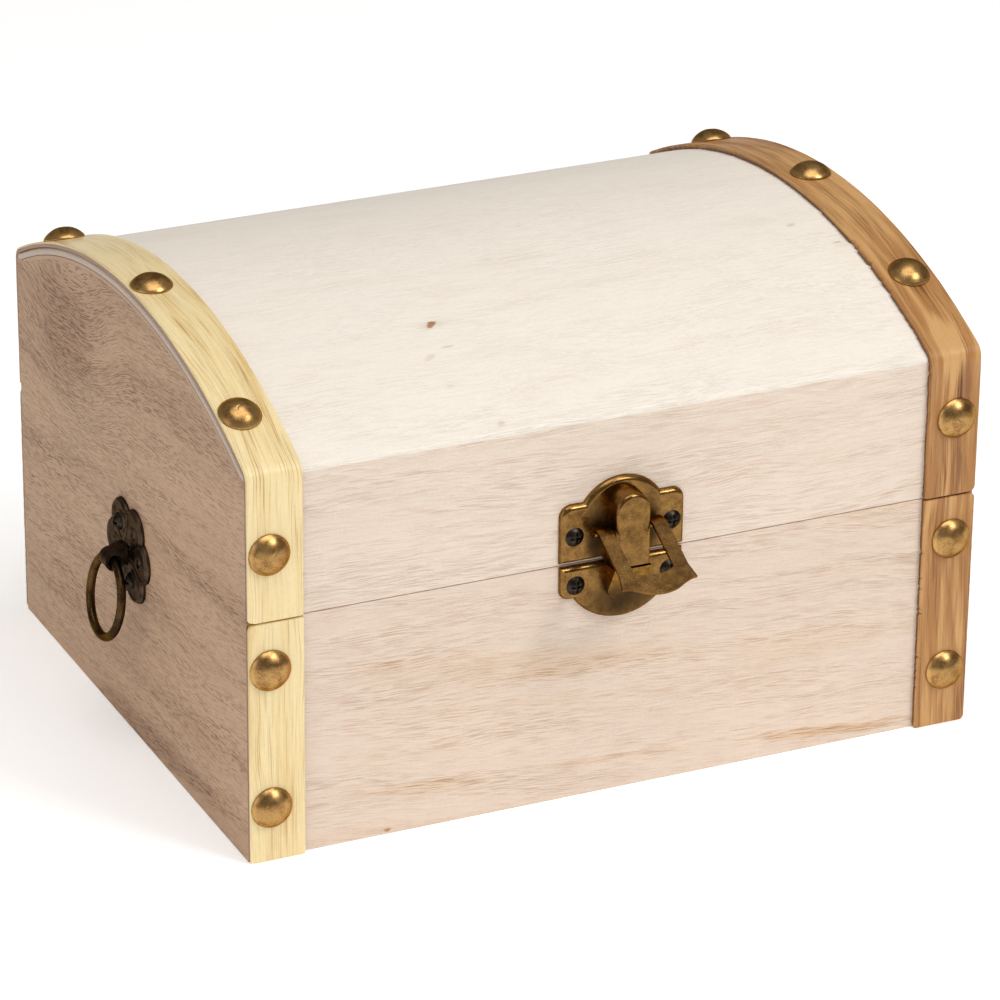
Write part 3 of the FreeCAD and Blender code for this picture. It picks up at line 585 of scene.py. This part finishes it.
def band_rings(path, normal, side, start_corner, end_corner, torn, seed):
    """Rings and strip-wise UVs of a band. Each ring is a rounded rectangle between the outer line and one
    thickness inside it. Near both ends it shrinks by a small easing circle, and its outer side by a larger
    corner circle. The inner side wanders by smoothed random steps and loses splinters where it is torn."""
    step = np.linalg.norm(np.diff(path, axis=0), axis=1)
    along = np.concatenate([[0.0], np.cumsum(step)])
    total = along[-1]
    ease = np.maximum(circle_inset(along, BAND_EASE), circle_inset(total - along, BAND_EASE))
    corner = np.maximum(circle_inset(along, start_corner), circle_inset(total - along, end_corner))
    draw = np.random.default_rng(seed)

    def smoothed(steps):
        """Straight lines between steps that are spread evenly along the band."""
        return np.interp(along, np.linspace(0, total, len(steps)), steps)

    coarse = smoothed(draw.normal(0, 1, COARSE_STEPS))
    fine = smoothed(draw.normal(0, 1, FINE_STEPS))
    splinter = smoothed(draw.random(SPLINTER_STEPS)) > SPLINTER_FROM
    ragged = (COARSE_RAG * coarse + FINE_RAG * fine + SPLINTER_RAG * splinter * np.abs(fine)) * torn * MM
    outer_ragged = OUTER_RAG * smoothed(np.abs(draw.normal(0, 1, OUTER_STEPS)))
    inner_x = TOP_HALF_WIDTH - BAND_WIDTH + ease + np.abs(ragged)
    outer_x = TOP_HALF_WIDTH - ease - corner - outer_ragged
    turn = np.linspace(0, math.pi / 2, 6)
    first = inner_x[:, None]
    last = outer_x[:, None]
    run = np.linspace(0, 1, 11)[None, 1:-1]
    cos = np.cos(turn)[None]
    sin = np.sin(turn)[None]
    x = np.concatenate([first + FACE_ROUND - FACE_ROUND * cos,
                        first + FACE_ROUND + (last - first - 2 * FACE_ROUND) * run,
                        last - FACE_ROUND + FACE_ROUND * sin,
                        last - BACK_ROUND + BACK_ROUND * cos,
                        last - BACK_ROUND - (last - first - 2 * BACK_ROUND) * run,
                        first + BACK_ROUND - BACK_ROUND * sin], axis=1)
    rows = np.ones((len(path), 1))
    deep = BAND_THICK - ease[:, None] * 0.5
    depth = np.concatenate([FACE_ROUND - FACE_ROUND * sin * rows, 0 * run * rows,
                            FACE_ROUND - FACE_ROUND * cos * rows, deep - BACK_ROUND + BACK_ROUND * sin,
                            deep * np.ones_like(run), deep - BACK_ROUND + BACK_ROUND * cos], axis=1)
    depth = depth + ease[:, None] * 0.5
    wave = WAVE_DEPTH * smoothed(draw.random(WAVE_STEPS))[:, None]
    depth = np.where(depth < 0.5 * BAND_THICK, depth + wave, depth)
    rings = np.stack([side * x,
                      path[:, :1] - normal[:, :1] * depth,
                      path[:, 1:] - normal[:, 1:] * depth], axis=-1)
    across = (x - TOP_HALF_WIDTH + BAND_WIDTH / 2) * (1 + 2 * depth / BAND_WIDTH)
    uv = np.stack([across, np.broadcast_to(along[:, None], x.shape)], axis=-1)
    return rings, uv


BAND_SIDE = BAND_WIDTH / MM / 2 + 0.25
BAND_CUT = 600 * MM
STAINED_MARKS = (
    ((7.0, 0.0, 1.5), (9.0, 60.0, 5.0), 0.22, "dark"),
    ((14.0, 0.0, 2.0), (26.0, 60.0, 1.5), 0.40, "dark"),
    ((30.0, 0.0, 3.5), (9.0, 60.0, 2.4), 0.45, "dark"),
    ((40.0, 0.0, -1.0), (13.0, 60.0, 4.5), 0.80, "pale"),
    ((62.0, 0.0, 1.0), (9.0, 60.0, 3.5), 0.30, "dark"),
    ((92.0, 0.0, -4.0), (30.0, 60.0, 2.0), 0.35, "pale"),
    ((104.0, 0.0, 0.0), (46.0, 60.0, 16.0), 0.24, "pale"),
)
# Each band's edge colour darkens its cut sides. Part of this is the real burnished cut and dark glue, and
# part is painted shade on sides that face away from the light.
yellow_finish = wood_finish("honey_band_veneer", tone(247, 226, 174), tone(226, 190, 118),
                            tone(176, 126, 62), 83,
                            figure=(0.62, 0.34, 0.74), hairs=0.66, hair_cell=(0.018, 0.0006, 0.00024),
                            hair_count=(0.47, 0.68), cells=(0.05, 0.02, 0.0034), along_strip=True,
                            gloss=(0.26, 0.40), relief=0.00006, edge=(BAND_SIDE, tone(142, 98, 58)))
stained_finish = wood_finish("stained_band_veneer", tone(210, 162, 104), tone(168, 114, 60),
                             tone(108, 62, 32), 97,
                             figure=(0.80, 0.26, 0.62), hairs=0.46, hair_cell=(0.014, 0.0006, 0.00032),
                             hair_count=(0.48, 0.70), cells=(0.040, 0.02, 0.0028), marks=STAINED_MARKS,
                             along_strip=True, gloss=(0.36, 0.52), relief=0.00009,
                             edge=(BAND_SIDE, tone(122, 82, 50)))
for side, side_name, veneer, veneer_slot, torn in (
        (-1, "left", yellow_finish, "yellow_band_wood", 0.7),
        (1, "right", stained_finish, "orange_band_wood", 1.6)):
    path, normal = hoop_path()
    rings, uv = band_rings(path, normal, side, SEAM_CORNER, SEAM_CORNER, torn, 5 + side)
    make_piece("lid_band_strip_" + side_name, [rings], veneer, "lid",
               ["lid_band_" + side_name], uv=uv)
    for face, face_name in ((-1, "front"), (1, "back")):
        node = "box_band_" + face_name + "_" + side_name
        path, normal = strip_path(face, 0.0, BAND_BOX_TOP)
        rings, uv = band_rings(path, normal, side, FOOT_CORNER, SEAM_CORNER, torn * 0.6, 15 + side + 3 * face)
        cut_from = BAND_CUT * (2 + face)
        make_piece(node + "_strip", [rings], veneer, "box", [node], uv=uv + (0.0, cut_from))

# Band nails
# Domed upholstery nails, stamped from thin brass and antiqued, driven through the bands into the end
# boards. Each head is a little dented by the hammer, and each was driven with its own slight turn.

NAIL_RADIUS = 5.15 * MM
NAIL_RISE = 3.0 * MM
NAIL_RIM = 0.35 * MM
NAIL_INSET = {-1: 5.4, 1: 6.3}
NAIL_ARC = {-1: (-21.6, -1.7, 19.8), 1: (-18.2, 0.2, 19.8)}
NAIL_LID_Z = {-1: 78.6, 1: 82.0}
NAIL_BOX_Z = {-1: (49.4, 14.0), 1: (50.2, 14.8)}
CAP_START = 0.12 * MM
CAP_REACH = 4.9 * MM
EDGE_INSETS = np.array([0.12, 0.03, 0, 0.03, 0.2]) * MM
EDGE_HEIGHTS = np.array([0.47, 0.34, 0.18, 0.04, -0.10]) * MM
DENT_COUNT = 5
DENT_REACH = (0.3, 4.0)
DENT_SIZE = (0.5, 1.3)
DENT_DEPTH = (0.03, 0.09)
DENTED_WITHIN = 4.95 * MM
NICK_OFFSET = 1.6
NICK_RADIUS = 1.0 * MM
NICK_WIDTH = 0.14 * MM
NICK_DEPTH = 0.09 * MM
WHOLE_TURN = 6.28
RUBBED_AT = 0.93
RUBBED_SPREAD = 0.10
RUBBED_MOST = 0.45


def metal_finish(name, bright, dull, grime_and_shade_tone, seed, cell=3.0, grimy=(0.52, 0.74), rough=(0.26, 0.44),
                 relief=0.00003, lift=0.0, wear=False, painted_shade=(), graze=(0.70, 0.55, 0.38)):
    """Antiqued metal: broad and fine mottling between a bright and a dull tone, with patches of grime that
    are less metallic and rougher. Where a piece carries a worn attribute, its high places are rubbed bright.
    Painted shade lists hollows darkened towards the grime tone as shade: a centre, half sizes in mm, and how
    much.
    Graze is the tint of what it mirrors at a low angle."""
    finish, start, shader = new_finish(name)
    place = start.node("ShaderNodeTexCoord", output="Object")
    cloud = place.noise((cell * MM,) * 3, seed, 3.0, 0.55)
    fleck = place.noise((0.40 * MM,) * 3, seed + 1, 3.0, 0.60)
    speck = place.noise((0.16 * MM,) * 3, seed + 3, 1.0)
    scuff = place.noise((0.9 * MM, 0.9 * MM, 0.14 * MM), seed + 2, 2.0)
    shine = (cloud * 0.50 + fleck * 0.35 + speck * 0.15).rise(0.30 - lift, 0.70 - lift)
    grime_and_shade = (cloud * 0.45 + fleck * 0.40 + speck * 0.15).rise(*grimy) * 0.85
    if wear:
        rubbed = start.node("ShaderNodeAttribute", {"attribute_name": "worn"}, output="Fac")
        shine = (shine + rubbed * (0.5 + fleck * 0.7)).rise(0.0, 1.0)
        grime_and_shade = grime_and_shade * (1.0 - rubbed)
    # Painted shade: each hollow pulls the colour towards the grime tone and lowers metallic, on top of the
    # real grime patches, to stand in for the shade that falls there.
    for centre, half, amount in painted_shade:
        spot = spot_mask(place, tuple(Vector(centre) * MM), tuple(Vector(half) * MM), 0.1)
        grime_and_shade = grime_and_shade + spot * (1.0 - grime_and_shade) * amount * (0.60 + fleck * 0.5)
    colour = grime_and_shade.blend(shine.blend(dull, bright), grime_and_shade_tone)
    roughness = rough[0] + (rough[1] - rough[0]) * (fleck * 0.6 + scuff * 0.4) + grime_and_shade * 0.34
    coat(start, shader, colour, roughness, fleck * 0.6 + scuff * 0.3, relief, metallic=1.0 - grime_and_shade * 0.35)
    shader.inputs["Specular Tint"].default_value = graze + (1.0,)
    shader.inputs["Specular IOR Level"].default_value = 0.25
    return finish


def nail_rings(point, outward, draw):
    """Head of one nail: a spherical cap whose rings run from its crown to its rim and under it. Hammer
    dents are round hollows, and a tool nick is a hollow along part of a circle."""
    radius = np.concatenate([np.linspace(CAP_START, CAP_REACH, 30), NAIL_RADIUS - EDGE_INSETS])
    cap = NAIL_RISE - NAIL_RIM
    ball = (NAIL_RADIUS ** 2 + cap ** 2) / (2 * cap)
    height = NAIL_RISE - ball + np.sqrt(ball ** 2 - radius ** 2)
    height[-len(EDGE_HEIGHTS):] = EDGE_HEIGHTS
    around = np.linspace(0, 2 * math.pi, 64, endpoint=False) + draw.random() * 6
    x = radius[:, None] * np.cos(around)[None]
    y = radius[:, None] * np.sin(around)[None]
    hollow = np.zeros_like(x)
    for _ in range(DENT_COUNT):
        reach = draw.uniform(*DENT_REACH) * MM
        turn = draw.uniform(0, WHOLE_TURN)
        size = draw.uniform(*DENT_SIZE) * MM
        distance = np.hypot(x - reach * math.cos(turn), y - reach * math.sin(turn))
        hollow += draw.uniform(*DENT_DEPTH) * MM * np.exp(-(distance / size) ** 2)
    nick = draw.uniform(-NICK_OFFSET, NICK_OFFSET, 2) * MM
    nick_turn = draw.uniform(0, WHOLE_TURN)
    bearing = np.arctan2(y - nick[1], x - nick[0]) - nick_turn
    from_circle = np.hypot(x - nick[0], y - nick[1]) - NICK_RADIUS
    groove = np.exp(-(from_circle / NICK_WIDTH) ** 2)
    hollow += NICK_DEPTH * groove * np.clip(np.cos(bearing), 0, 1) ** 2
    z = height[:, None] - hollow * (radius[:, None] < DENTED_WITHIN)
    turn = Vector((0, 0, 1)).rotation_difference(Vector(outward)).to_matrix()
    points = np.stack([x, y, z], axis=-1) @ np.array(turn).T + np.array(point)
    rubbed = np.clip(1 - np.abs(radius / NAIL_RADIUS - RUBBED_AT) / RUBBED_SPREAD, 0, 1) * RUBBED_MOST
    return points, np.broadcast_to(rubbed[:, None], x.shape)


def nail_places(lid):
    """Where the nails of the lid or the box stand on their bands, and which way each faces."""
    places = []
    for side in (-1, 1):
        x = side * (TOP_HALF_WIDTH - NAIL_INSET[side] * MM)
        for z in ((NAIL_LID_Z[side],) if lid else NAIL_BOX_Z[side]):
            places += [((x, face * BAND_FACE, z * MM), (0, face, 0)) for face in (-1, 1)]
        for angle in (NAIL_ARC[side] if lid else ()):
            lean = math.radians(angle)
            reach = ARC_OUTER + BAND_THICK
            places.append(((x, reach * math.sin(lean), ARC_CENTRE + reach * math.cos(lean)),
                           (0, math.sin(lean), math.cos(lean))))
    return places


nail_finish = metal_finish("antique_nail_brass", tone(196, 156, 98), tone(132, 96, 56), tone(66, 47, 29), 7,
                           cell=3.0, rough=(0.25, 0.35), relief=0.000010, wear=True)
nail_draw = np.random.default_rng(42)
for lid, body, node in ((True, "lid", "lid_band_nails"), (False, "box", "box_band_nails")):
    heads = [nail_rings(point, outward, nail_draw) for point, outward in nail_places(lid)]
    make_piece(node + "_heads", [head[0] for head in heads], nail_finish, body, [node],
               worn=np.concatenate([head[1].ravel() for head in heads]))

# Latch
# Two stamped brass plates screwed over the joint, each with its half of a raised hood, and a sprung bail
# on a pin through the upper hood. Antiqued dark and rubbed back to gold on the high places.

# Painted shade: dark patches under the bail, in the crevices beside the hood and on the hood's lower face
# stand in for the shade that falls there.
LATCH_PAINTED_SHADE = (
    ((0.0, -80.0, 51.0), (15.0, 14.0, 9.0), 1.0),
    ((-7.0, -77.5, 68.0), (4.5, 3.5, 12.0), 1.0),
    ((7.0, -77.5, 68.0), (4.5, 3.5, 12.0), 1.0),
    ((0.0, -87.0, 60.0), (5.0, 6.0, 12.0), 0.9),
)
latch_finish = metal_finish("antique_latch_brass", tone(156, 118, 66), tone(92, 66, 37), tone(34, 25, 17), 17,
                            cell=2.2, grimy=(0.56, 0.78), rough=(0.17, 0.29), painted_shade=LATCH_PAINTED_SHADE)
bail_finish = metal_finish("antique_bail_brass", tone(138, 103, 58), tone(82, 59, 33), tone(42, 30, 20), 19,
                           cell=2.2, grimy=(0.56, 0.78), rough=(0.17, 0.29))
screw_finish = metal_finish("blackened_screw_steel", tone(70, 62, 54), tone(34, 30, 27), tone(16, 14, 12), 29,
                            cell=1.6, rough=(0.26, 0.40), graze=(0.55, 0.50, 0.46))


def refinish(finish, *names):
    """Gives CAD pieces their finish in place of the plain one they came with."""
    for name in names:
        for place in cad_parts[name].material_slots:
            place.material = finish


refinish(latch_finish, "latch_lid_plate", "latch_box_plate")
refinish(bail_finish, "latch_bail", "latch_bail_pin")
refinish(screw_finish, "latch_lid_screws", "latch_box_screws")

# Ring handles
# A six-petalled cast plate on each end, held by two screws, with an eye standing out of it and a bent
# wire ring hanging in the eye. Dark bronze, with brass showing where fingers rub the ring.

HANDLE_Y = -1.5 * MM
HANDLE_Z = 49.0 * MM
PETAL_RADIUS = 5.5 * MM
PETAL_REACH = 7.8 * MM
PETAL_ANGLES = np.radians([0, 58, 122, 180, 238, 302])
PLATE_FACE = 1.02 * MM
BEAD_INSET = 0.75 * MM
BEAD_WIDTH = 0.34 * MM
BEAD_HEIGHT = 0.45 * MM
COIL_REACH = 7.6 * MM
COIL_START = 1.15
COIL_GROWTH = 0.55
COIL_WIDTH = 0.26 * MM
COIL_HEIGHT = 0.36 * MM
BOSS_WIDTH = 0.42 * MM
BOSS_HEIGHT = 0.30 * MM
FURROW_ANGLES = np.radians([29, 90, 151, 209, 270, 331])
FURROW_FROM = 2.5 * MM
FURROW_WIDTH = 0.30 * MM
FURROW_DEPTH = 0.42 * MM
MIDDLE_RADIUS = 3.3 * MM
MIDDLE_SLOPE = 0.22 * MM
MIDDLE_HEIGHT = 0.34 * MM
SCREW_REACH = 7.4 * MM
SCREW_ANGLES = np.radians([120, 300])
PAD_RADIUS = 2.75 * MM
PAD_SLOPE = 0.12 * MM
PAD_HEIGHT = 1.5 * MM
LOWEST_RELIEF = 0.4 * MM
HIGHEST_RELIEF = 1.58 * MM
WORN_FROM = 1.15
WORN_SPAN = 0.4
WORN_MOST = 0.55
WALL_SHARES = np.array([0.985, 0.996, 1.0, 1.0, 1.0])
WALL_HEIGHTS = np.array([0.88, 0.72, 0.48, 0.20, 0.0]) * MM
WALL_WORN = np.array([0.5, 0.3, 0, 0, 0])


def petal_plate(side):
    """Handle plate on a polar grid. Its rim is the farthest of six circles and a middle disc along each
    bearing. Relief: a bead inside the rim, a coil on each petal, furrows between petals, a raised middle
    and a flat pad under each screw. Rings then step down the edge to the wood."""
    around = np.linspace(0, 2 * math.pi, 288, endpoint=False)
    off = around[None] - PETAL_ANGLES[:, None]
    under = PETAL_RADIUS ** 2 - (PETAL_REACH * np.sin(off)) ** 2
    petal = np.where((under > 0) & (np.cos(off) > 0), PETAL_REACH * np.cos(off) + np.sqrt(np.abs(under)), 0)
    rim = np.maximum(petal.max(axis=0), PETAL_REACH)
    share = np.concatenate([[0.01], np.linspace(0.04, 0.965, 58)])
    radius = share[:, None] * rim[None]
    u = radius * np.cos(around)[None]
    v = radius * np.sin(around)[None]
    height = PLATE_FACE + BEAD_HEIGHT * np.exp(-((rim[None] - radius - BEAD_INSET) / BEAD_WIDTH) ** 2)
    for angle in PETAL_ANGLES:
        du = u - COIL_REACH * math.cos(angle)
        dv = v - COIL_REACH * math.sin(angle)
        distance = np.hypot(du, dv)
        bearing = np.arctan2(dv, du) - angle
        coil = distance - (COIL_START + COIL_GROWTH * np.mod(bearing / (2 * math.pi), 1.0)) * MM
        height += COIL_HEIGHT * np.exp(-(coil / COIL_WIDTH) ** 2)
        height += BOSS_HEIGHT * np.exp(-(distance / BOSS_WIDTH) ** 2)
    for angle in FURROW_ANGLES:
        aside = np.abs(-u * math.sin(angle) + v * math.cos(angle))
        ahead = (u * math.cos(angle) + v * math.sin(angle)) > FURROW_FROM
        height -= FURROW_DEPTH * np.exp(-(aside / FURROW_WIDTH) ** 2) * ahead
    height += MIDDLE_HEIGHT / (1 + np.exp((np.hypot(u, v) - MIDDLE_RADIUS) / MIDDLE_SLOPE))
    for angle in SCREW_ANGLES:
        distance = np.hypot(u - SCREW_REACH * math.cos(angle), v - SCREW_REACH * math.sin(angle))
        pad = 1 / (1 + np.exp((distance - PAD_RADIUS) / PAD_SLOPE))
        height = height * (1 - pad) + PAD_HEIGHT * pad
    height = np.clip(height, LOWEST_RELIEF, HIGHEST_RELIEF)
    worn = np.clip((height / MM - WORN_FROM) / WORN_SPAN, 0, 1) * WORN_MOST
    wall = (len(WALL_SHARES), len(around))
    radius = np.concatenate([radius, WALL_SHARES[:, None] * rim[None]])
    height = np.concatenate([height, np.broadcast_to(WALL_HEIGHTS[:, None], wall)])
    worn = np.concatenate([worn, np.broadcast_to(WALL_WORN[:, None], wall)])
    points = np.stack([side * (TOP_HALF_WIDTH + height), HANDLE_Y - radius * np.cos(around)[None],
                       HANDLE_Z + radius * np.sin(around)[None]], axis=-1)
    return points, worn


bronze_finish = metal_finish("dark_handle_bronze", tone(86, 70, 56), tone(38, 31, 27), tone(18, 15, 13), 61,
                             cell=2.4, rough=(0.30, 0.46), wear=True, graze=(0.62, 0.54, 0.48))
ring_finish = metal_finish("rubbed_ring_bronze", tone(146, 110, 58), tone(46, 37, 30), tone(24, 19, 16), 67,
                           cell=5.0, rough=(0.28, 0.42), lift=-0.10, graze=(0.60, 0.50, 0.40))
for side, side_name in ((-1, "left"), (1, "right")):
    points, worn = petal_plate(side)
    make_piece("handle_plate_relief_" + side_name, [points], bronze_finish, "box",
               ["handle_plate_" + side_name], worn=worn.ravel())
    refinish(ring_finish, "handle_ring_" + side_name)
    refinish(bronze_finish, "handle_eye_" + side_name)
    refinish(screw_finish, "handle_screws_" + side_name)

# Hinges
# Two small pressed butt hinges let the lid swing back: two leaves with interleaved knuckles on one pin,
# brass plated and held by four round-head screws each.

hinge_finish = metal_finish("plated_hinge_brass", tone(200, 164, 96), tone(142, 108, 56),
                            tone(74, 54, 30), 79, cell=4.0, grimy=(0.58, 0.76), rough=(0.22, 0.40))
for side_name in ("left", "right"):
    refinish(hinge_finish, "hinge_box_leaf_" + side_name, "hinge_lid_leaf_" + side_name,
             "hinge_pin_" + side_name)
refinish(hinge_finish, "hinge_lid_screws", "hinge_box_screws")

# Studio
# Flat white floor that glows a little, a small soft key from the upper right front, a broad overhead bank
# and a weak fill on the left, seen by a long lens from above and to the left of the chest's front.

FLOOR_REACH = 6.0
FLOOR_Z = -0.0001
FLOOR_GLOW = 0.36
floor_mesh = bpy.data.meshes.new("studio_floor")
floor_corners = [(x * FLOOR_REACH, y * FLOOR_REACH, FLOOR_Z) for x, y in ((-1, -1), (1, -1), (1, 1), (-1, 1))]
floor_mesh.from_pydata(floor_corners, [], [(0, 1, 2, 3)])
floor = bpy.data.objects.new("studio_floor", floor_mesh)
bpy.context.scene.collection.objects.link(floor)
floor_finish, start, shader = new_finish("white_sweep")
floor_place = start.node("ShaderNodeTexCoord", output="Object")
floor_shade = floor_place.noise((0.4, 0.4, 0.4), 3, 1.0).blend(tone(252, 252, 252), tone(250, 250, 250))
floor_finish.node_tree.links.new(floor_shade.socket, shader.inputs["Base Color"])
shader.inputs["Roughness"].default_value = 0.9
shader.inputs["Specular IOR Level"].default_value = 0.0
shader.inputs["Emission Color"].default_value = (1.0, 1.0, 1.0, 1.0)
shader.inputs["Emission Strength"].default_value = FLOOR_GLOW
floor_mesh.materials.append(floor_finish)

AIR_GLOW = 0.27
world = bpy.data.worlds.new("studio_air")
world.use_nodes = True
air = world.node_tree.nodes["Background"]
air.inputs["Color"].default_value = (1.0, 0.985, 0.965, 1.0)
air.inputs["Strength"].default_value = AIR_GLOW
bpy.context.scene.world = world


def soft_light(name, place, aim, size, power, colour):
    """Rectangular softbox at a place, facing a point."""
    lamp = bpy.data.lights.new(name, "AREA")
    lamp.shape = "RECTANGLE"
    lamp.size, lamp.size_y = size
    lamp.energy = power
    lamp.color = colour
    light = bpy.data.objects.new(name, lamp)
    light.location = place
    light.rotation_euler = (Vector(aim) - Vector(place)).to_track_quat("-Z", "Y").to_euler()
    bpy.context.scene.collection.objects.link(light)


CHEST_MIDDLE = (0.0, 0.0, 0.06)
soft_light("key_softbox", (0.60, -0.95, 1.15), CHEST_MIDDLE, (0.45, 0.45), 8.2, (1.0, 0.985, 0.96))
soft_light("overhead_bank", (0.0, -0.30, 1.35), CHEST_MIDDLE, (1.1, 0.9), 8.4, (1.0, 0.99, 0.98))
soft_light("left_fill", (-1.3, -0.3, 0.5), CHEST_MIDDLE, (0.8, 0.8), 2.0, (1.0, 0.98, 0.95))

CAMERA_PLACE = (-0.48505, -1.05451, 0.56475)
CAMERA_YAW = math.radians(24.868)
CAMERA_PITCH = math.radians(24.137)
CAMERA_ROLL = math.radians(0.5575)
CAMERA_LENS = 183.85
CAMERA_SENSOR = 36.0
ahead = Vector((math.sin(CAMERA_YAW) * math.cos(CAMERA_PITCH), math.cos(CAMERA_YAW) * math.cos(CAMERA_PITCH),
                -math.sin(CAMERA_PITCH)))
level = Vector((math.cos(CAMERA_YAW), -math.sin(CAMERA_YAW), 0))
upright = level.cross(ahead)
right = level * math.cos(CAMERA_ROLL) + upright * math.sin(CAMERA_ROLL)
up = upright * math.cos(CAMERA_ROLL) - level * math.sin(CAMERA_ROLL)
lens = bpy.data.cameras.new("studio_camera")
lens.lens = CAMERA_LENS
lens.sensor_width = CAMERA_SENSOR
camera = bpy.data.objects.new("studio_camera", lens)
camera.matrix_world = Matrix.Translation(CAMERA_PLACE) @ Matrix((right, up, -ahead)).transposed().to_4x4()
bpy.context.scene.collection.objects.link(camera)
bpy.context.scene.camera = camera
bpy.context.scene.view_settings.view_transform = "Standard"
